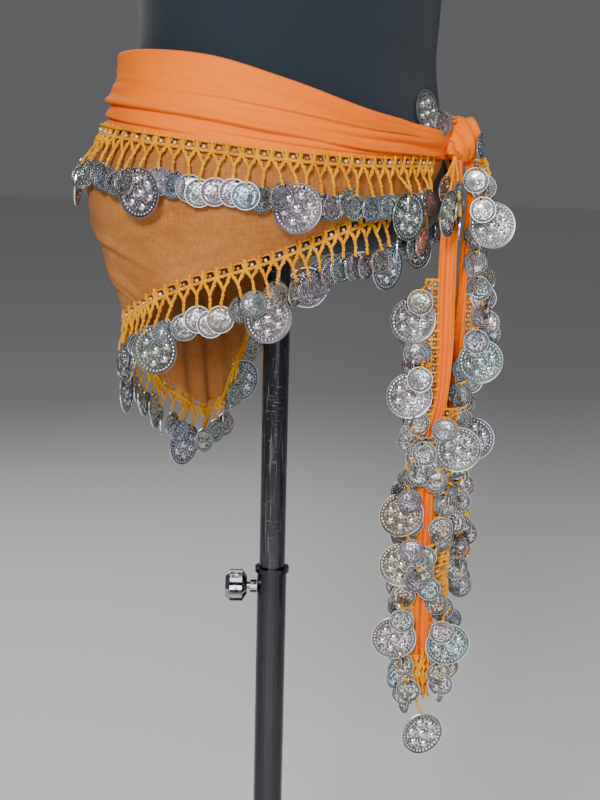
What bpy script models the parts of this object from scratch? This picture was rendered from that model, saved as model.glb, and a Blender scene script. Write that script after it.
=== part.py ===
"""Belly dance hip scarf, tied at the side on a limbless dress form and its pole stand.

Metres, +Z up.  The origin is the centre of the floor base's underside; the pole stands on it.
The scarf runs round the form by a bearing: 0 degrees is +X, where the knot sits, and the
bearing grows toward -Y (the front of this model), then -X, then +Y.
"""
import math

import bmesh
import bpy
from mathutils import Vector

SEAM_GAP = 0.0003          # between pieces that touch
UP = Vector((0, 0, 1))

# ---- the form: a row for each height -----------------------------------------------------
FORM_FACES = math.radians(-45)      # the way the form's chest points, from +X
FORM_CENTRE_X = 0.008               # the form sits this far off the pole's axis
#            height, half breadth, half depth, shift toward the back
FORM_ROWS = (
    (0.852, 0.134, 0.093, 0.018),
    (0.858, 0.147, 0.105, 0.018),
    (0.874, 0.160, 0.117, 0.018),
    (0.896, 0.166, 0.122, 0.018),
    (0.930, 0.159, 0.118, 0.012),
    (0.965, 0.147, 0.109, 0.006),
    (1.000, 0.138, 0.103, 0.002),
    (1.030, 0.137, 0.103, 0.000),
    (1.080, 0.141, 0.106, 0.000),
    (1.150, 0.149, 0.112, 0.000),
    (1.230, 0.156, 0.117, -0.002),
    (1.310, 0.164, 0.114, -0.002),
    (1.380, 0.168, 0.102, 0.000),
    (1.425, 0.152, 0.088, 0.004),
    (1.455, 0.112, 0.073, 0.006),
    (1.478, 0.072, 0.062, 0.004),
    (1.500, 0.058, 0.056, 0.002),
    (1.530, 0.056, 0.055, 0.002),
)
FORM_SEGMENTS = 32
CAP_HEIGHT, CAP_OVERHANG = 0.010, 0.002

# ---- the stand ---------------------------------------------------------------------------
BASE_RADIUS, BASE_EDGE, BASE_RISE = 0.190, 0.006, 0.010
SOCKET_RADIUS, SOCKET_TOP = 0.024, 0.046
LOWER_TUBE_RADIUS, LOWER_BORE_RADIUS = 0.0127, 0.0115
UPPER_TUBE_RADIUS, UPPER_BORE_RADIUS = 0.0111, 0.0097
COLLAR_RADIUS, COLLAR_HEIGHT, COLLAR_TOP = 0.0148, 0.004, 0.573
UPPER_TUBE_FOOT = 0.300
PLATE_RADIUS, PLATE_THICKNESS = 0.045, 0.005
BOSS_RADIUS, BOSS_REACH, CLAMP_HEIGHT = 0.0065, 0.0185, 0.5555
SCREW_RADIUS, KNOB_RADIUS, KNOB_INNER, KNOB_OUTER = 0.0032, 0.0140, 0.0215, 0.0400
KNOB_LOBES = 6
ROUND_SEGMENTS = 24

# ---- the scarf round the form: a row for each bearing ------------------------------------
#        bearing, top fold, upper hem, under hem, how far the top stands off the form
SCARF_ROWS = (
    (10, 0.951, 0.926, 0.910, 0.012),
    (20, 0.952, 0.926, 0.902, 0.010),
    (34, 0.9545, 0.927, 0.893, 0.002),
    (60, 0.9645, 0.928, 0.879, 0.002),
    (92, 0.985, 0.933, 0.853, 0.003),
    (114, 0.999, 0.939, 0.836, 0.004),
    (134, 1.003, 0.944, 0.814, 0.006),
    (158, 1.001, 0.947, 0.786, 0.008),
    (184, 0.997, 0.943, 0.741, 0.010),
    (208, 0.996, 0.937, 0.713, 0.009),
    (231, 0.991, 0.932, 0.703, 0.008),
    (246, 0.987, 0.930, 0.733, 0.007),
    (260, 0.982, 0.930, 0.782, 0.006),
    (278, 0.976, 0.930, 0.833, 0.005),
    (304, 0.967, 0.929, 0.872, 0.003),
    (334, 0.957, 0.927, 0.896, 0.003),
    (354, 0.951, 0.926, 0.910, 0.010),
)
BEARING, TOP, UPPER_HEM, UNDER_HEM, STAND_OFF = range(5)
SCARF_START, SCARF_END = 8.2, 356.4
CLOTH_WALL = 0.0012
UNDER_CLEAR = 0.0020                 # form to under layer
UPPER_CLEAR = 0.0044                 # form to upper layer
FOLD_ROOM = 0.0035                   # the under layer stops this far below the top fold
HIP_HEIGHT = 0.896
UPPER_SHARES = (0.03, 0.16, 0.32, 0.48, 0.64, 0.82, 1.0)
UNDER_SHARES = (0.0, 0.14, 0.34, 0.56, 0.78, 1.0)
#  below the hip the cloth hangs free and is drawn in by the tie: height, distance
DRAW_IN = ((0.650, 0.052), (0.700, 0.048), (0.740, 0.043), (0.787, 0.036), (0.820, 0.026),
           (0.850, 0.014), (0.862, 0.009), (0.880, 0.002), (0.896, 0.000))
#  soft diagonal folds of the band: bearing and share of its depth at each end, height, breadth
BAND_FOLDS = (
    (10, 0.30, 240, 0.26, 0.0030, 0.20),
    (20, 0.84, 205, 0.66, 0.0034, 0.12),
    (16, 0.52, 120, 0.12, 0.0018, 0.12),
    (225, 0.55, 350, 0.50, 0.0024, 0.15),
)
#  hanging folds of the under layer: bearing, half breadth in degrees, height
HANGING_FOLDS = (
    (104, 6, 0.0020), (126, 7, 0.0035), (149, 6, 0.0045), (171, 8, 0.0040), (192, 7, 0.0060),
    (213, 6, 0.0050), (229, 5, 0.0075), (244, 6, 0.0050), (262, 7, 0.0040),
)

# ---- knot and tails ----------------------------------------------------------------------
KNOT_CENTRE = Vector((0.1505, -0.0050, 0.9400))
KNOT_ACROSS, KNOT_THROUGH, KNOT_TALL = 0.0160, 0.0150, 0.0215
#              height, centre x, centre y, half breadth, fold depth
LONG_TAIL_ROWS = (
    (0.9218, 0.1450, -0.0100, 0.0045, 0.0015),
    (0.9050, 0.1430, -0.0180, 0.0062, 0.0022),
    (0.8680, 0.1400, -0.0225, 0.0070, 0.0026),
    (0.8110, 0.1395, -0.0230, 0.0075, 0.0026),
    (0.7690, 0.1400, -0.0230, 0.0068, 0.0024),
    (0.7280, 0.1380, -0.0230, 0.0058, 0.0024),
    (0.6920, 0.1312, -0.0230, 0.0070, 0.0030),
    (0.6580, 0.1300, -0.0230, 0.0080, 0.0035),
    (0.6140, 0.1297, -0.0230, 0.0085, 0.0035),
    (0.5700, 0.1297, -0.0230, 0.0090, 0.0030),
    (0.5030, 0.1304, -0.0230, 0.0085, 0.0025),
    (0.4670, 0.1318, -0.0230, 0.0030, 0.0010),
)
SHORT_TAIL_ROWS = (
    (0.9218, 0.1560, -0.0005, 0.0040, 0.0015),
    (0.9050, 0.1600, 0.0020, 0.0042, 0.0018),
    (0.8590, 0.1570, 0.0020, 0.0042, 0.0020),
    (0.8090, 0.1545, 0.0020, 0.0050, 0.0022),
    (0.7660, 0.1520, 0.0020, 0.0060, 0.0024),
    (0.7230, 0.1490, 0.0020, 0.0068, 0.0026),
    (0.6710, 0.1460, 0.0020, 0.0075, 0.0035),
    (0.6360, 0.1485, 0.0020, 0.0070, 0.0030),
    (0.6000, 0.1525, 0.0020, 0.0065, 0.0025),
    (0.5650, 0.1550, 0.0020, 0.0025, 0.0010),
)
TAIL_HEIGHT, TAIL_X, TAIL_Y, TAIL_HALF, TAIL_FOLD = range(5)
TAIL_STEPS = 22
TAIL_PLEATS = (0.0, 1.0, -0.6, 0.8, -0.2)       # fold depth across the strip, left to right

# ---- crochet, drops and coins ------------------------------------------------------------
LACE_THICKNESS = 0.0012
FLAT_ENOUGH = 0.00001
HEADER_DEPTH = 0.0045
STRAND_PITCH = 0.0216
ARM_SPREAD, ARM_WIDTH = 0.0058, 0.0020
JUNCTION_DEPTH, CORD_WIDTH = 0.0145, 0.0022
SMALL_COIN, LARGE_COIN = 0.0106, 0.0192         # radii
COIN_DEPTH = 0.0350                             # hem to the middle of a small coin
LARGE_PROUD = 0.0032
UPPER_LARGE = (1, 6, 11, 16, 21, 26, 31, 36)    # strands that carry a large coin
LOWER_LARGE = (2, 7, 11, 16, 21, 26, 31, 36)
COIN_CORNERS = (40, 90, 140, 220, 270, 320)     # degrees from the hanging point
UPPER_LIFT = 0.0012                             # drops of the upper tier clear the under layer
TAIL_LACE_WIDTH, TAIL_COIN_DROP = 0.0060, 0.0120
TAIL_CLEAR_REACH, TAIL_PROUD = 0.0120, 0.0028           # past the edge, and forward of it
TAIL_LARGE_OUT, TAIL_LARGE_PROUD = 0.0035, 0.0053       # more for a large coin
TAIL_SEAM = 0.0009                                      # strip edge to its lace
#              side, top, foot, coins' reach at the top and foot, strands with a large coin
TAIL_FRINGES = {
    "fringe_long_left": (-1, 0.828, 0.470, 0.0120, 0.0090, (0, 3, 8, 10, 13)),
    "fringe_long_right": (1, 0.720, 0.482, 0.0105, 0.0070, (0, 8)),
    "fringe_short_left": (-1, 0.790, 0.575, 0.0120, 0.0120, (2, 8)),
    "fringe_short_right": (1, 0.903, 0.570, 0.0090, 0.0010, (0, 5, 8)),
}
TIP_COIN = Vector((0.1335, -0.0265, 0.4330))
#  loose coins on the knot: one against the form, one in front of it, one at the knot's side
KNOT_COIN_BEARING, KNOT_COIN_HEIGHT, KNOT_COIN_CLEAR, KNOT_COIN_LEAN = 16.0, 0.9610, 0.0036, 0.22
KNOT_SMALL_SHIFT = Vector((0.0130, -0.0130, -0.0040))
KNOT_SIDE_SHIFT = Vector((0.0140, -0.0140, -0.0010))
KNOT_STRIP = ((-0.006, -0.007), (0.005, -0.007), (0.005, 0.002), (-0.006, 0.002))


def remove_everything():
    for item in list(bpy.data.objects):
        bpy.data.objects.remove(item, do_unlink=True)


def finish_material(name, colour, roughness, metallic):
    material = bpy.data.materials.new(name)
    material.use_nodes = True
    shader = material.node_tree.nodes["Principled BSDF"]
    shader.inputs["Base Color"].default_value = (*colour, 1.0)
    shader.inputs["Roughness"].default_value = roughness
    shader.inputs["Metallic"].default_value = metallic
    return material


def add_object(name, bm, material, sharp_degrees=40):
    """Put a bmesh in the scene as one closed, outward-facing object."""
    bmesh.ops.recalc_face_normals(bm, faces=bm.faces)
    mesh = bpy.data.meshes.new(name)
    bm.to_mesh(mesh)
    bm.free()
    mesh.materials.append(material)
    mesh.shade_smooth()
    mesh.set_sharp_from_angle(angle=math.radians(sharp_degrees))
    item = bpy.data.objects.new(name, mesh)
    bpy.context.scene.collection.objects.link(item)
    return item


def read_table(rows, column, at):
    """Smooth value of a table's column at a place along its first column."""
    ordered = rows if rows[0][0] < rows[-1][0] else rows[::-1]
    at = min(max(at, ordered[0][0]), ordered[-1][0])
    k = 0
    while k < len(ordered) - 2 and at > ordered[k + 1][0]:
        k += 1
    before, low, high = ordered[max(k - 1, 0)], ordered[k], ordered[k + 1]
    after = ordered[min(k + 2, len(ordered) - 1)]
    span = high[0] - low[0]
    slope_low = (high[column] - before[column]) / (high[0] - before[0]) * span
    slope_high = (after[column] - low[column]) / (after[0] - low[0]) * span
    t = (at - low[0]) / span
    return ((2 * t**3 - 3 * t**2 + 1) * low[column] + (t**3 - 2 * t**2 + t) * slope_low
            + (3 * t**2 - 2 * t**3) * high[column] + (t**3 - t**2) * slope_high)


def bump(distance, half_breadth):
    return math.exp(-(distance / half_breadth) ** 2)


# ---- surfaces ----------------------------------------------------------------------------

def form_centre(height):
    shift = read_table(FORM_ROWS, 3, height)
    return (FORM_CENTRE_X - shift * math.cos(FORM_FACES), -shift * math.sin(FORM_FACES))


def form_radius(angle, height):
    """Distance from the form's middle to its skin, in the direction of an angle."""
    breadth, depth = (read_table(FORM_ROWS, column, height) for column in (1, 2))
    turned = angle - FORM_FACES
    return 1 / math.hypot(math.cos(turned) / depth, math.sin(turned) / breadth)


def scarf_place(bearing, height, clear):
    """Point of the scarf's round: on the form down to the hip, hanging free below it."""
    angle = -math.radians(bearing)
    carried = max(height, HIP_HEIGHT)
    radius = form_radius(angle, carried) + clear
    if height < HIP_HEIGHT:
        radius -= read_table(DRAW_IN, 1, height)
    top, hem = (read_table(SCARF_ROWS, column, bearing) for column in (TOP, UPPER_HEM))
    share = min(max((height - hem) / (top - hem), 0.0), 1.15)
    radius += read_table(SCARF_ROWS, STAND_OFF, bearing) * share**2
    x, y = form_centre(carried)
    return Vector((x + radius * math.cos(angle), y + radius * math.sin(angle), height))


def outward(bearing, height):
    """Level direction square to the scarf's round."""
    along = scarf_place(bearing + 1, height, 0.0) - scarf_place(bearing - 1, height, 0.0)
    return Vector((-along.y, along.x, 0.0)).normalized()


def band_relief(bearing, share):
    """Height of the band's diagonal folds."""
    rise = 0.0
    for start, share_start, end, share_end, height, breadth in BAND_FOLDS:
        run = (bearing - start) / (end - start)
        if -0.1 < run < 1.1:
            line = share_start + (share_end - share_start) * run
            ends = min(1.0, (run + 0.1) * 6, (1.1 - run) * 6)
            rise += height * ends * bump(share - line, breadth)
    return rise


def hanging_relief(bearing, height):
    """Height of the under layer's hanging folds, which start below the hip."""
    start = min(max((0.872 - height) / 0.06, 0.0), 1.0)
    return start * sum(fold * bump(bearing - middle, half) for middle, half, fold in HANGING_FOLDS)


# ---- walls of cloth ----------------------------------------------------------------------

def grid_wall(name, outer, inner, material):
    """Closed wall between two grids of points, each a list of columns."""
    bm = bmesh.new()
    skins = [[[bm.verts.new(point) for point in column] for column in grid]
             for grid in (outer, inner)]
    columns, rows = len(outer), len(outer[0])
    for skin in skins:
        for i in range(columns - 1):
            for j in range(rows - 1):
                bm.faces.new((skin[i][j], skin[i + 1][j], skin[i + 1][j + 1], skin[i][j + 1]))
    front, back = skins
    for i in range(columns - 1):
        for j in (0, rows - 1):
            bm.faces.new((front[i][j], front[i + 1][j], back[i + 1][j], back[i][j]))
    for j in range(rows - 1):
        for i in (0, columns - 1):
            bm.faces.new((front[i][j], front[i][j + 1], back[i][j + 1], back[i][j]))
    return add_object(name, bm, material, 60)


def under_place(bearing, height):
    """Point on the inner face of the under layer."""
    return scarf_place(bearing, height, UNDER_CLEAR + hanging_relief(bearing, height))


def upper_place(bearing, height):
    """Point on the inner face of the upper layer."""
    top, hem = (read_table(SCARF_ROWS, column, bearing) for column in (TOP, UPPER_HEM))
    return scarf_place(bearing, height,
                       UPPER_CLEAR + band_relief(bearing, (top - height) / (top - hem)))


def strand_spots(place, hem_column, start, end):
    """Bearings of the strands, at even distances along a hem, and of the edges between them."""
    steps = 600
    trail = [start + (end - start) * k / steps for k in range(steps + 1)]
    points = [place(b, read_table(SCARF_ROWS, hem_column, b)) for b in trail]
    run = [0.0]
    for low, high in zip(points, points[1:]):
        run.append(run[-1] + (high - low).length)
    count = round(run[-1] / STRAND_PITCH)

    def bearing_at(distance):
        k = 0
        while k < steps - 1 and run[k + 1] < distance:
            k += 1
        return trail[k] + (trail[k + 1] - trail[k]) * (distance - run[k]) / (run[k + 1] - run[k])

    spots = [bearing_at(run[-1] * (n + 0.5) / count) for n in range(count)]
    edges = [bearing_at(run[-1] * n / count) for n in range(count + 1)]
    return spots, edges


def wall_bearings(edges):
    """Columns of a layer: each edge between strands and each middle, and on to the knot."""
    marks = [SCARF_START, *edges, SCARF_END]
    columns = []
    for low, high in zip(marks, marks[1:]):
        columns += [low, (low + high) / 2]
    return [*columns, SCARF_END]


def straighten_hem(grid):
    """Between two strand edges the hem runs straight, so that its lace meets it evenly."""
    for k in range(1, len(grid) - 1, 2):
        grid[k][-1] = (grid[k - 1][-1] + grid[k + 1][-1]) / 2


def build_under_layer(edges, material):
    """Wide side of the folded scarf: up to the fold, down to the point behind."""
    outer, inner = [], []
    for bearing in wall_bearings(edges):
        top = read_table(SCARF_ROWS, TOP, bearing) - FOLD_ROOM
        hem = read_table(SCARF_ROWS, UNDER_HEM, bearing)
        cover = read_table(SCARF_ROWS, UPPER_HEM, bearing)
        middle = max(HIP_HEIGHT, (cover + hem) / 2)
        heights = [top, (top + cover) / 2, cover]
        heights += [middle + (hem - middle) * share for share in UNDER_SHARES]
        out = outward(bearing, hem)
        inner.append([under_place(bearing, height) for height in heights])
        outer.append([point + out * CLOTH_WALL for point in inner[-1]])
    for grid in (outer, inner):
        straighten_hem(grid)
    return grid_wall("scarf_under", outer, inner, material)


def build_upper_layer(edges, material):
    """Narrow side, turned over at the top in a soft roll."""
    outer, inner = [], []
    for bearing in wall_bearings(edges):
        top, hem = (read_table(SCARF_ROWS, column, bearing) for column in (TOP, UPPER_HEM))
        turn = scarf_place(bearing, top, UNDER_CLEAR)
        out = outward(bearing, top)
        fall = [upper_place(bearing, top + (hem - top) * share) for share in UPPER_SHARES]
        inner.append([turn - UP * 0.0006, turn + out * 0.0012 + UP * 0.0008, *fall])
        outer.append([turn + UP * 0.0008, turn + out * 0.0016 + UP * 0.0022,
                      *(point + out * CLOTH_WALL for point in fall)])
    for grid in (outer, inner):
        straighten_hem(grid)
    return grid_wall("scarf_upper", outer, inner, material)


def build_tail(name, rows, material):
    """Hanging end of the scarf, pleated lengthwise into a narrow strip."""
    top, foot = rows[0][TAIL_HEIGHT], rows[-1][TAIL_HEIGHT]
    outer, inner = [], []
    for k, pleat in enumerate(TAIL_PLEATS):
        across = 2 * k / (len(TAIL_PLEATS) - 1) - 1
        columns = ([], [])
        for step in range(TAIL_STEPS + 1):
            height = top + (foot - top) * step / TAIL_STEPS
            x, y, half, fold = (read_table(rows, column, height)
                                for column in (TAIL_X, TAIL_Y, TAIL_HALF, TAIL_FOLD))
            twist = 0.5 * math.sin(step * 0.9)
            depth = fold * (pleat + twist * across)
            for column, wall in zip(columns, (-CLOTH_WALL / 2, CLOTH_WALL / 2)):
                column.append(Vector((x + half * across, y - depth + wall, height)))
        outer.append(columns[0])
        inner.append(columns[1])
    return grid_wall(name, outer, inner, material)


def build_knot(material):
    """The tie: a round of gathered cloth with one wrap crossing it."""
    bm = bmesh.new()
    bmesh.ops.create_uvsphere(bm, u_segments=18, v_segments=10, radius=1.0)
    for vert in bm.verts:
        x, y, z = vert.co
        wrap = bump(z + 0.45 * x - 0.10, 0.30)
        pleats = 0.045 * math.cos(9 * math.atan2(x, -y)) * (1 - wrap)
        scale = 0.86 + 0.14 * wrap + pleats * (1 - z * z)
        vert.co = KNOT_CENTRE + Vector((x * KNOT_THROUGH, y * KNOT_ACROSS, z * KNOT_TALL)) * scale
    return add_object("knot", bm, material, 60)


# ---- lace --------------------------------------------------------------------------------

class Lace:
    """A flat lacework of polygons, each point with a back and a front, made one solid."""

    def __init__(self):
        self.points = []
        self.faces = []

    def point(self, back, normal):
        self.points.append((back, back + normal * LACE_THICKNESS))
        return len(self.points) - 1

    def coin(self, middle, across, normal, radius, start, end, up=UP):
        """Coin outline between two points already made at its top; start lies the way across."""
        rim = [self.point(middle + across * radius * math.sin(math.radians(corner))
                          + up * radius * math.cos(math.radians(corner)), normal)
               for corner in COIN_CORNERS]
        self.faces.append([start, *rim, end])

    def hanging_point(self, middle, across, normal, radius, up=UP):
        top = middle + up * math.sqrt(radius**2 - (CORD_WIDTH / 2) ** 2)
        return self.point(top + across * CORD_WIDTH / 2, normal)

    def build(self, name, material):
        bm = bmesh.new()
        back = [bm.verts.new(pair[0]) for pair in self.points]
        front = [bm.verts.new(pair[1]) for pair in self.points]
        edges = {(face[k], face[(k + 1) % len(face)]) for face in self.faces
                 for k in range(len(face))}
        for face in self.faces:
            bm.faces.new([front[k] for k in face])
            bm.faces.new([back[k] for k in reversed(face)])
        for start, end in sorted(edges):
            if (end, start) not in edges:
                bm.faces.new((front[end], front[start], back[start], back[end]))
        bm.normal_update()
        bent = [face for face in bm.faces
                if any(abs((vert.co - face.calc_center_median()).dot(face.normal)) > FLAT_ENOUGH
                       for vert in face.verts)]
        bmesh.ops.triangulate(bm, faces=bent)
        return add_object(name, bm, material, 30)


def build_ring_fringe(name, place, hem_column, spots, edges, lift, large_coins, material):
    """Crochet header on a hem of the scarf, with a Y-shaped drop and a coin on each strand."""
    lace = Lace()

    def hem_height(bearing):
        return read_table(SCARF_ROWS, hem_column, bearing)

    def header_point(bearing, depth):
        height = hem_height(bearing)
        hem, out = place(bearing, height), outward(bearing, height)
        slope = max(0.0, (place(bearing, height - depth) - hem).dot(out))
        return lace.point(hem + out * slope - UP * (SEAM_GAP + depth), out)

    tops = [header_point(edge, 0.0) for edge in edges]
    previous = None
    for k, spot in enumerate(spots):
        large = k in large_coins
        radius = LARGE_COIN if large else SMALL_COIN
        hem = place(spot, hem_height(spot))
        per_metre = math.degrees(1.0) / math.hypot(hem.x - FORM_CENTRE_X, hem.y)
        offsets = (-ARM_SPREAD - ARM_WIDTH, -ARM_SPREAD, ARM_SPREAD, ARM_SPREAD + ARM_WIDTH)
        roots = [header_point(spot + offset * per_metre, HEADER_DEPTH) for offset in offsets]
        lace.faces.append([tops[k], *roots, tops[k + 1]])
        if previous is not None:
            lace.faces.append([tops[k], previous, roots[0]])
        previous = roots[3]

        out = outward(spot, hem_height(spot))
        across = Vector((out.y, -out.x, 0.0))     # the way the bearing grows
        depth = COIN_DEPTH - SMALL_COIN + radius

        def rise(fall):
            """How far the cloth or form below the hem stands out, a fall under it."""
            return max(0.0, (place(spot, hem_height(spot) - fall) - hem).dot(out))

        low, high = rise(depth + radius), rise(depth - radius)
        swing = max(rise(depth), (low + high) / 2) + lift + (LARGE_PROUD if large else 0.0)
        lean = math.atan2(low - high, 2 * radius)
        up = UP * math.cos(lean) - out * math.sin(lean)
        facing = out * math.cos(lean) + UP * math.sin(lean)
        middle = hem + out * swing - UP * depth
        joint = hem + out * (rise(JUNCTION_DEPTH) + lift * 0.5) - UP * JUNCTION_DEPTH
        near = lace.point(joint - across * CORD_WIDTH / 2, out)
        inner = lace.point(joint + UP * CORD_WIDTH, out)
        far = lace.point(joint + across * CORD_WIDTH / 2, out)
        start = lace.hanging_point(middle, -across, facing, radius, up)
        end = lace.hanging_point(middle, across, facing, radius, up)
        lace.faces.append([roots[0], near, inner, roots[1]])
        lace.faces.append([roots[2], inner, far, roots[3]])
        lace.faces.append([near, start, end, far, inner])
        lace.coin(middle, -across, facing, radius, start, end, up)
    return lace.build(name, material)


def build_tail_fringe(name, rows, material, tip=None):
    """Crochet down one edge of a tail, its coins overhanging like shingles."""
    side, top, foot, top_reach, foot_reach, large_coins = TAIL_FRINGES[name]
    lace = Lace()
    out = Vector((0, -1, 0))
    across = Vector((side, 0, 0))

    def edge(height):
        x, y, half = (read_table(rows, column, height) for column in (TAIL_X, TAIL_Y, TAIL_HALF))
        return Vector((x, y + LACE_THICKNESS / 2, height)) + across * (half + TAIL_SEAM)

    count = round((top - foot) / STRAND_PITCH)
    step = (top - foot) / count
    inner = [lace.point(edge(top - step * k), out) for k in range(count + 1)]
    previous = None
    for k in range(count):
        height = top - step * (k + 0.5)
        large = k in large_coins
        radius = LARGE_COIN if large else SMALL_COIN
        outer = [lace.point(edge(height + rise) + across * TAIL_LACE_WIDTH, out)
                 for rise in (CORD_WIDTH, -CORD_WIDTH)]
        lace.faces.append([inner[k], outer[0], outer[1], inner[k + 1]])
        if previous is not None:
            lace.faces.append([inner[k], previous, outer[0]])
        previous = outer[1]
        reach = top_reach + (foot_reach - top_reach) * k / (count - 1)
        proud = TAIL_PROUD + (TAIL_CLEAR_REACH - reach) / 2    # clear of the strip's pleats
        if large:
            reach, proud = reach + TAIL_LARGE_OUT, proud + TAIL_LARGE_PROUD
        middle = (edge(height) + across * reach + out * proud
                  - UP * (TAIL_COIN_DROP + radius - SMALL_COIN))
        far = lace.hanging_point(middle, across, out, radius)
        near = lace.hanging_point(middle, -across, out, radius)
        lace.faces.append([outer[0], far, near, outer[1]])
        lace.coin(middle, across, out, radius, far, near)
    if tip:
        far = lace.hanging_point(tip, across, out, LARGE_COIN)
        near = lace.hanging_point(tip, -across, out, LARGE_COIN)
        lace.faces.append([inner[count], previous, far, near])
        lace.coin(tip, across, out, LARGE_COIN, far, near)
    return lace.build(name, material)


def build_knot_fringe(material):
    """Short end of lace over the knot: two coins thrown up behind it and one at its side."""
    lace = Lace()
    height = KNOT_CENTRE.z + KNOT_TALL * 0.86 + SEAM_GAP
    strip = [lace.point(Vector((KNOT_CENTRE.x + x, KNOT_CENTRE.y + y, height)), UP)
             for x, y in KNOT_STRIP]
    lace.faces.append(strip)
    angle = -math.radians(KNOT_COIN_BEARING)
    x, y = form_centre(KNOT_COIN_HEIGHT)
    reach = form_radius(angle, KNOT_COIN_HEIGHT) + KNOT_COIN_CLEAR
    behind = Vector((x + reach * math.cos(angle), y + reach * math.sin(angle), KNOT_COIN_HEIGHT))
    lean = (outward(KNOT_COIN_BEARING, KNOT_COIN_HEIGHT) + UP * KNOT_COIN_LEAN).normalized()
    for side, middle, facing, up, radius in (
            (3, behind, lean, None, LARGE_COIN),
            (0, behind + KNOT_SMALL_SHIFT, Vector((0.7, -0.7, 0.0)).normalized(), None, SMALL_COIN),
            (1, KNOT_CENTRE + KNOT_SIDE_SHIFT, Vector((0.7, -0.7, 0.0)).normalized(), UP,
             SMALL_COIN)):
        up = up or UP.cross(facing).normalized()  # thrown up, they hang by their knot side
        across = facing.cross(up)
        start = lace.hanging_point(middle, across, facing, radius, up)
        end = lace.hanging_point(middle, -across, facing, radius, up)
        lace.faces.append([strip[(side + 1) % 4], strip[side], start, end])
        lace.coin(middle, across, facing, radius, start, end, up)
    return lace.build("fringe_knot", material)


# ---- form and stand ----------------------------------------------------------------------

def ring_loft(name, rings, material, sharp_degrees=40):
    """Closed body through rings of points, with flat ends."""
    bm = bmesh.new()
    loops = [[bm.verts.new(point) for point in ring] for ring in rings]
    count = len(loops[0])
    for low, high in zip(loops, loops[1:]):
        for k in range(count):
            nxt = (k + 1) % count
            bm.faces.new((low[k], low[nxt], high[nxt], high[k]))
    bm.faces.new(loops[0][::-1])
    bm.faces.new(loops[-1])
    return add_object(name, bm, material, sharp_degrees)


def form_ring(height, extra=0.0, at=None):
    x, y = form_centre(height)
    ring = []
    for k in range(FORM_SEGMENTS):
        angle = 2 * math.pi * k / FORM_SEGMENTS
        radius = form_radius(angle, height) + extra
        ring.append(Vector((x + radius * math.cos(angle), y + radius * math.sin(angle),
                            height if at is None else at)))
    return ring


def build_form(jersey, cap):
    heights = [row[0] for row in FORM_ROWS]
    ring_loft("form_torso", [form_ring(height) for height in heights], jersey, 50)
    neck = heights[-1]
    low = neck + SEAM_GAP
    rings = [form_ring(neck, CAP_OVERHANG, low), form_ring(neck, CAP_OVERHANG, low + CAP_HEIGHT * 0.7),
             form_ring(neck, -CAP_OVERHANG, low + CAP_HEIGHT)]
    ring_loft("form_cap", rings, cap, 30)


def turned(name, profile, material, segments=ROUND_SEGMENTS):
    """Body turned about the pole's axis from (radius, height) points; radius 0 closes it."""
    bm = bmesh.new()
    verts = [bm.verts.new((radius, 0.0, height)) for radius, height in profile]
    pairs = list(zip(verts, verts[1:]))
    if profile[0][0] > 0:
        pairs.append((verts[-1], verts[0]))
    edges = [bm.edges.new(pair) for pair in pairs]
    bmesh.ops.spin(bm, geom=verts + edges, cent=(0, 0, 0), axis=(0, 0, 1),
                   angle=2 * math.pi, steps=segments, use_merge=True)
    bmesh.ops.remove_doubles(bm, verts=bm.verts, dist=1e-6)
    return add_object(name, bm, material)


def build_stand(enamel, chrome):
    tube_foot = BASE_EDGE + BASE_RISE + SEAM_GAP
    turned("stand_base", ((0, 0), (BASE_RADIUS, 0), (BASE_RADIUS, BASE_EDGE),
                          (BASE_RADIUS - 0.006, BASE_EDGE + 0.003),
                          (SOCKET_RADIUS + 0.004, BASE_EDGE + BASE_RISE),
                          (SOCKET_RADIUS, BASE_EDGE + BASE_RISE + 0.004),
                          (SOCKET_RADIUS - 0.003, SOCKET_TOP),
                          (LOWER_TUBE_RADIUS + SEAM_GAP, SOCKET_TOP),
                          (LOWER_TUBE_RADIUS + SEAM_GAP, BASE_EDGE + BASE_RISE),
                          (0, BASE_EDGE + BASE_RISE)), enamel, 32)
    turned("mast_lower", ((LOWER_BORE_RADIUS, tube_foot), (LOWER_TUBE_RADIUS, tube_foot),
                          (LOWER_TUBE_RADIUS, COLLAR_TOP - COLLAR_HEIGHT),
                          (COLLAR_RADIUS, COLLAR_TOP - COLLAR_HEIGHT),
                          (COLLAR_RADIUS, COLLAR_TOP), (LOWER_BORE_RADIUS, COLLAR_TOP)), chrome)
    plate_top = FORM_ROWS[0][0] - SEAM_GAP
    plate_foot = plate_top - PLATE_THICKNESS
    turned("form_plate", ((0, plate_foot), (PLATE_RADIUS, plate_foot), (PLATE_RADIUS, plate_top),
                          (0, plate_top)), enamel)
    tube_top = plate_foot - SEAM_GAP
    turned("mast_upper", ((UPPER_BORE_RADIUS, UPPER_TUBE_FOOT), (UPPER_TUBE_RADIUS, UPPER_TUBE_FOOT),
                          (UPPER_TUBE_RADIUS, tube_top), (UPPER_BORE_RADIUS, tube_top)), chrome)


def side_ring(x, radii):
    """Ring of points round the clamp's axis, which runs along -X."""
    count = len(radii)
    return [Vector((x, radius * math.cos(2 * math.pi * k / count),
                    CLAMP_HEIGHT + radius * math.sin(2 * math.pi * k / count)))
            for k, radius in enumerate(radii)]


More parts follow.
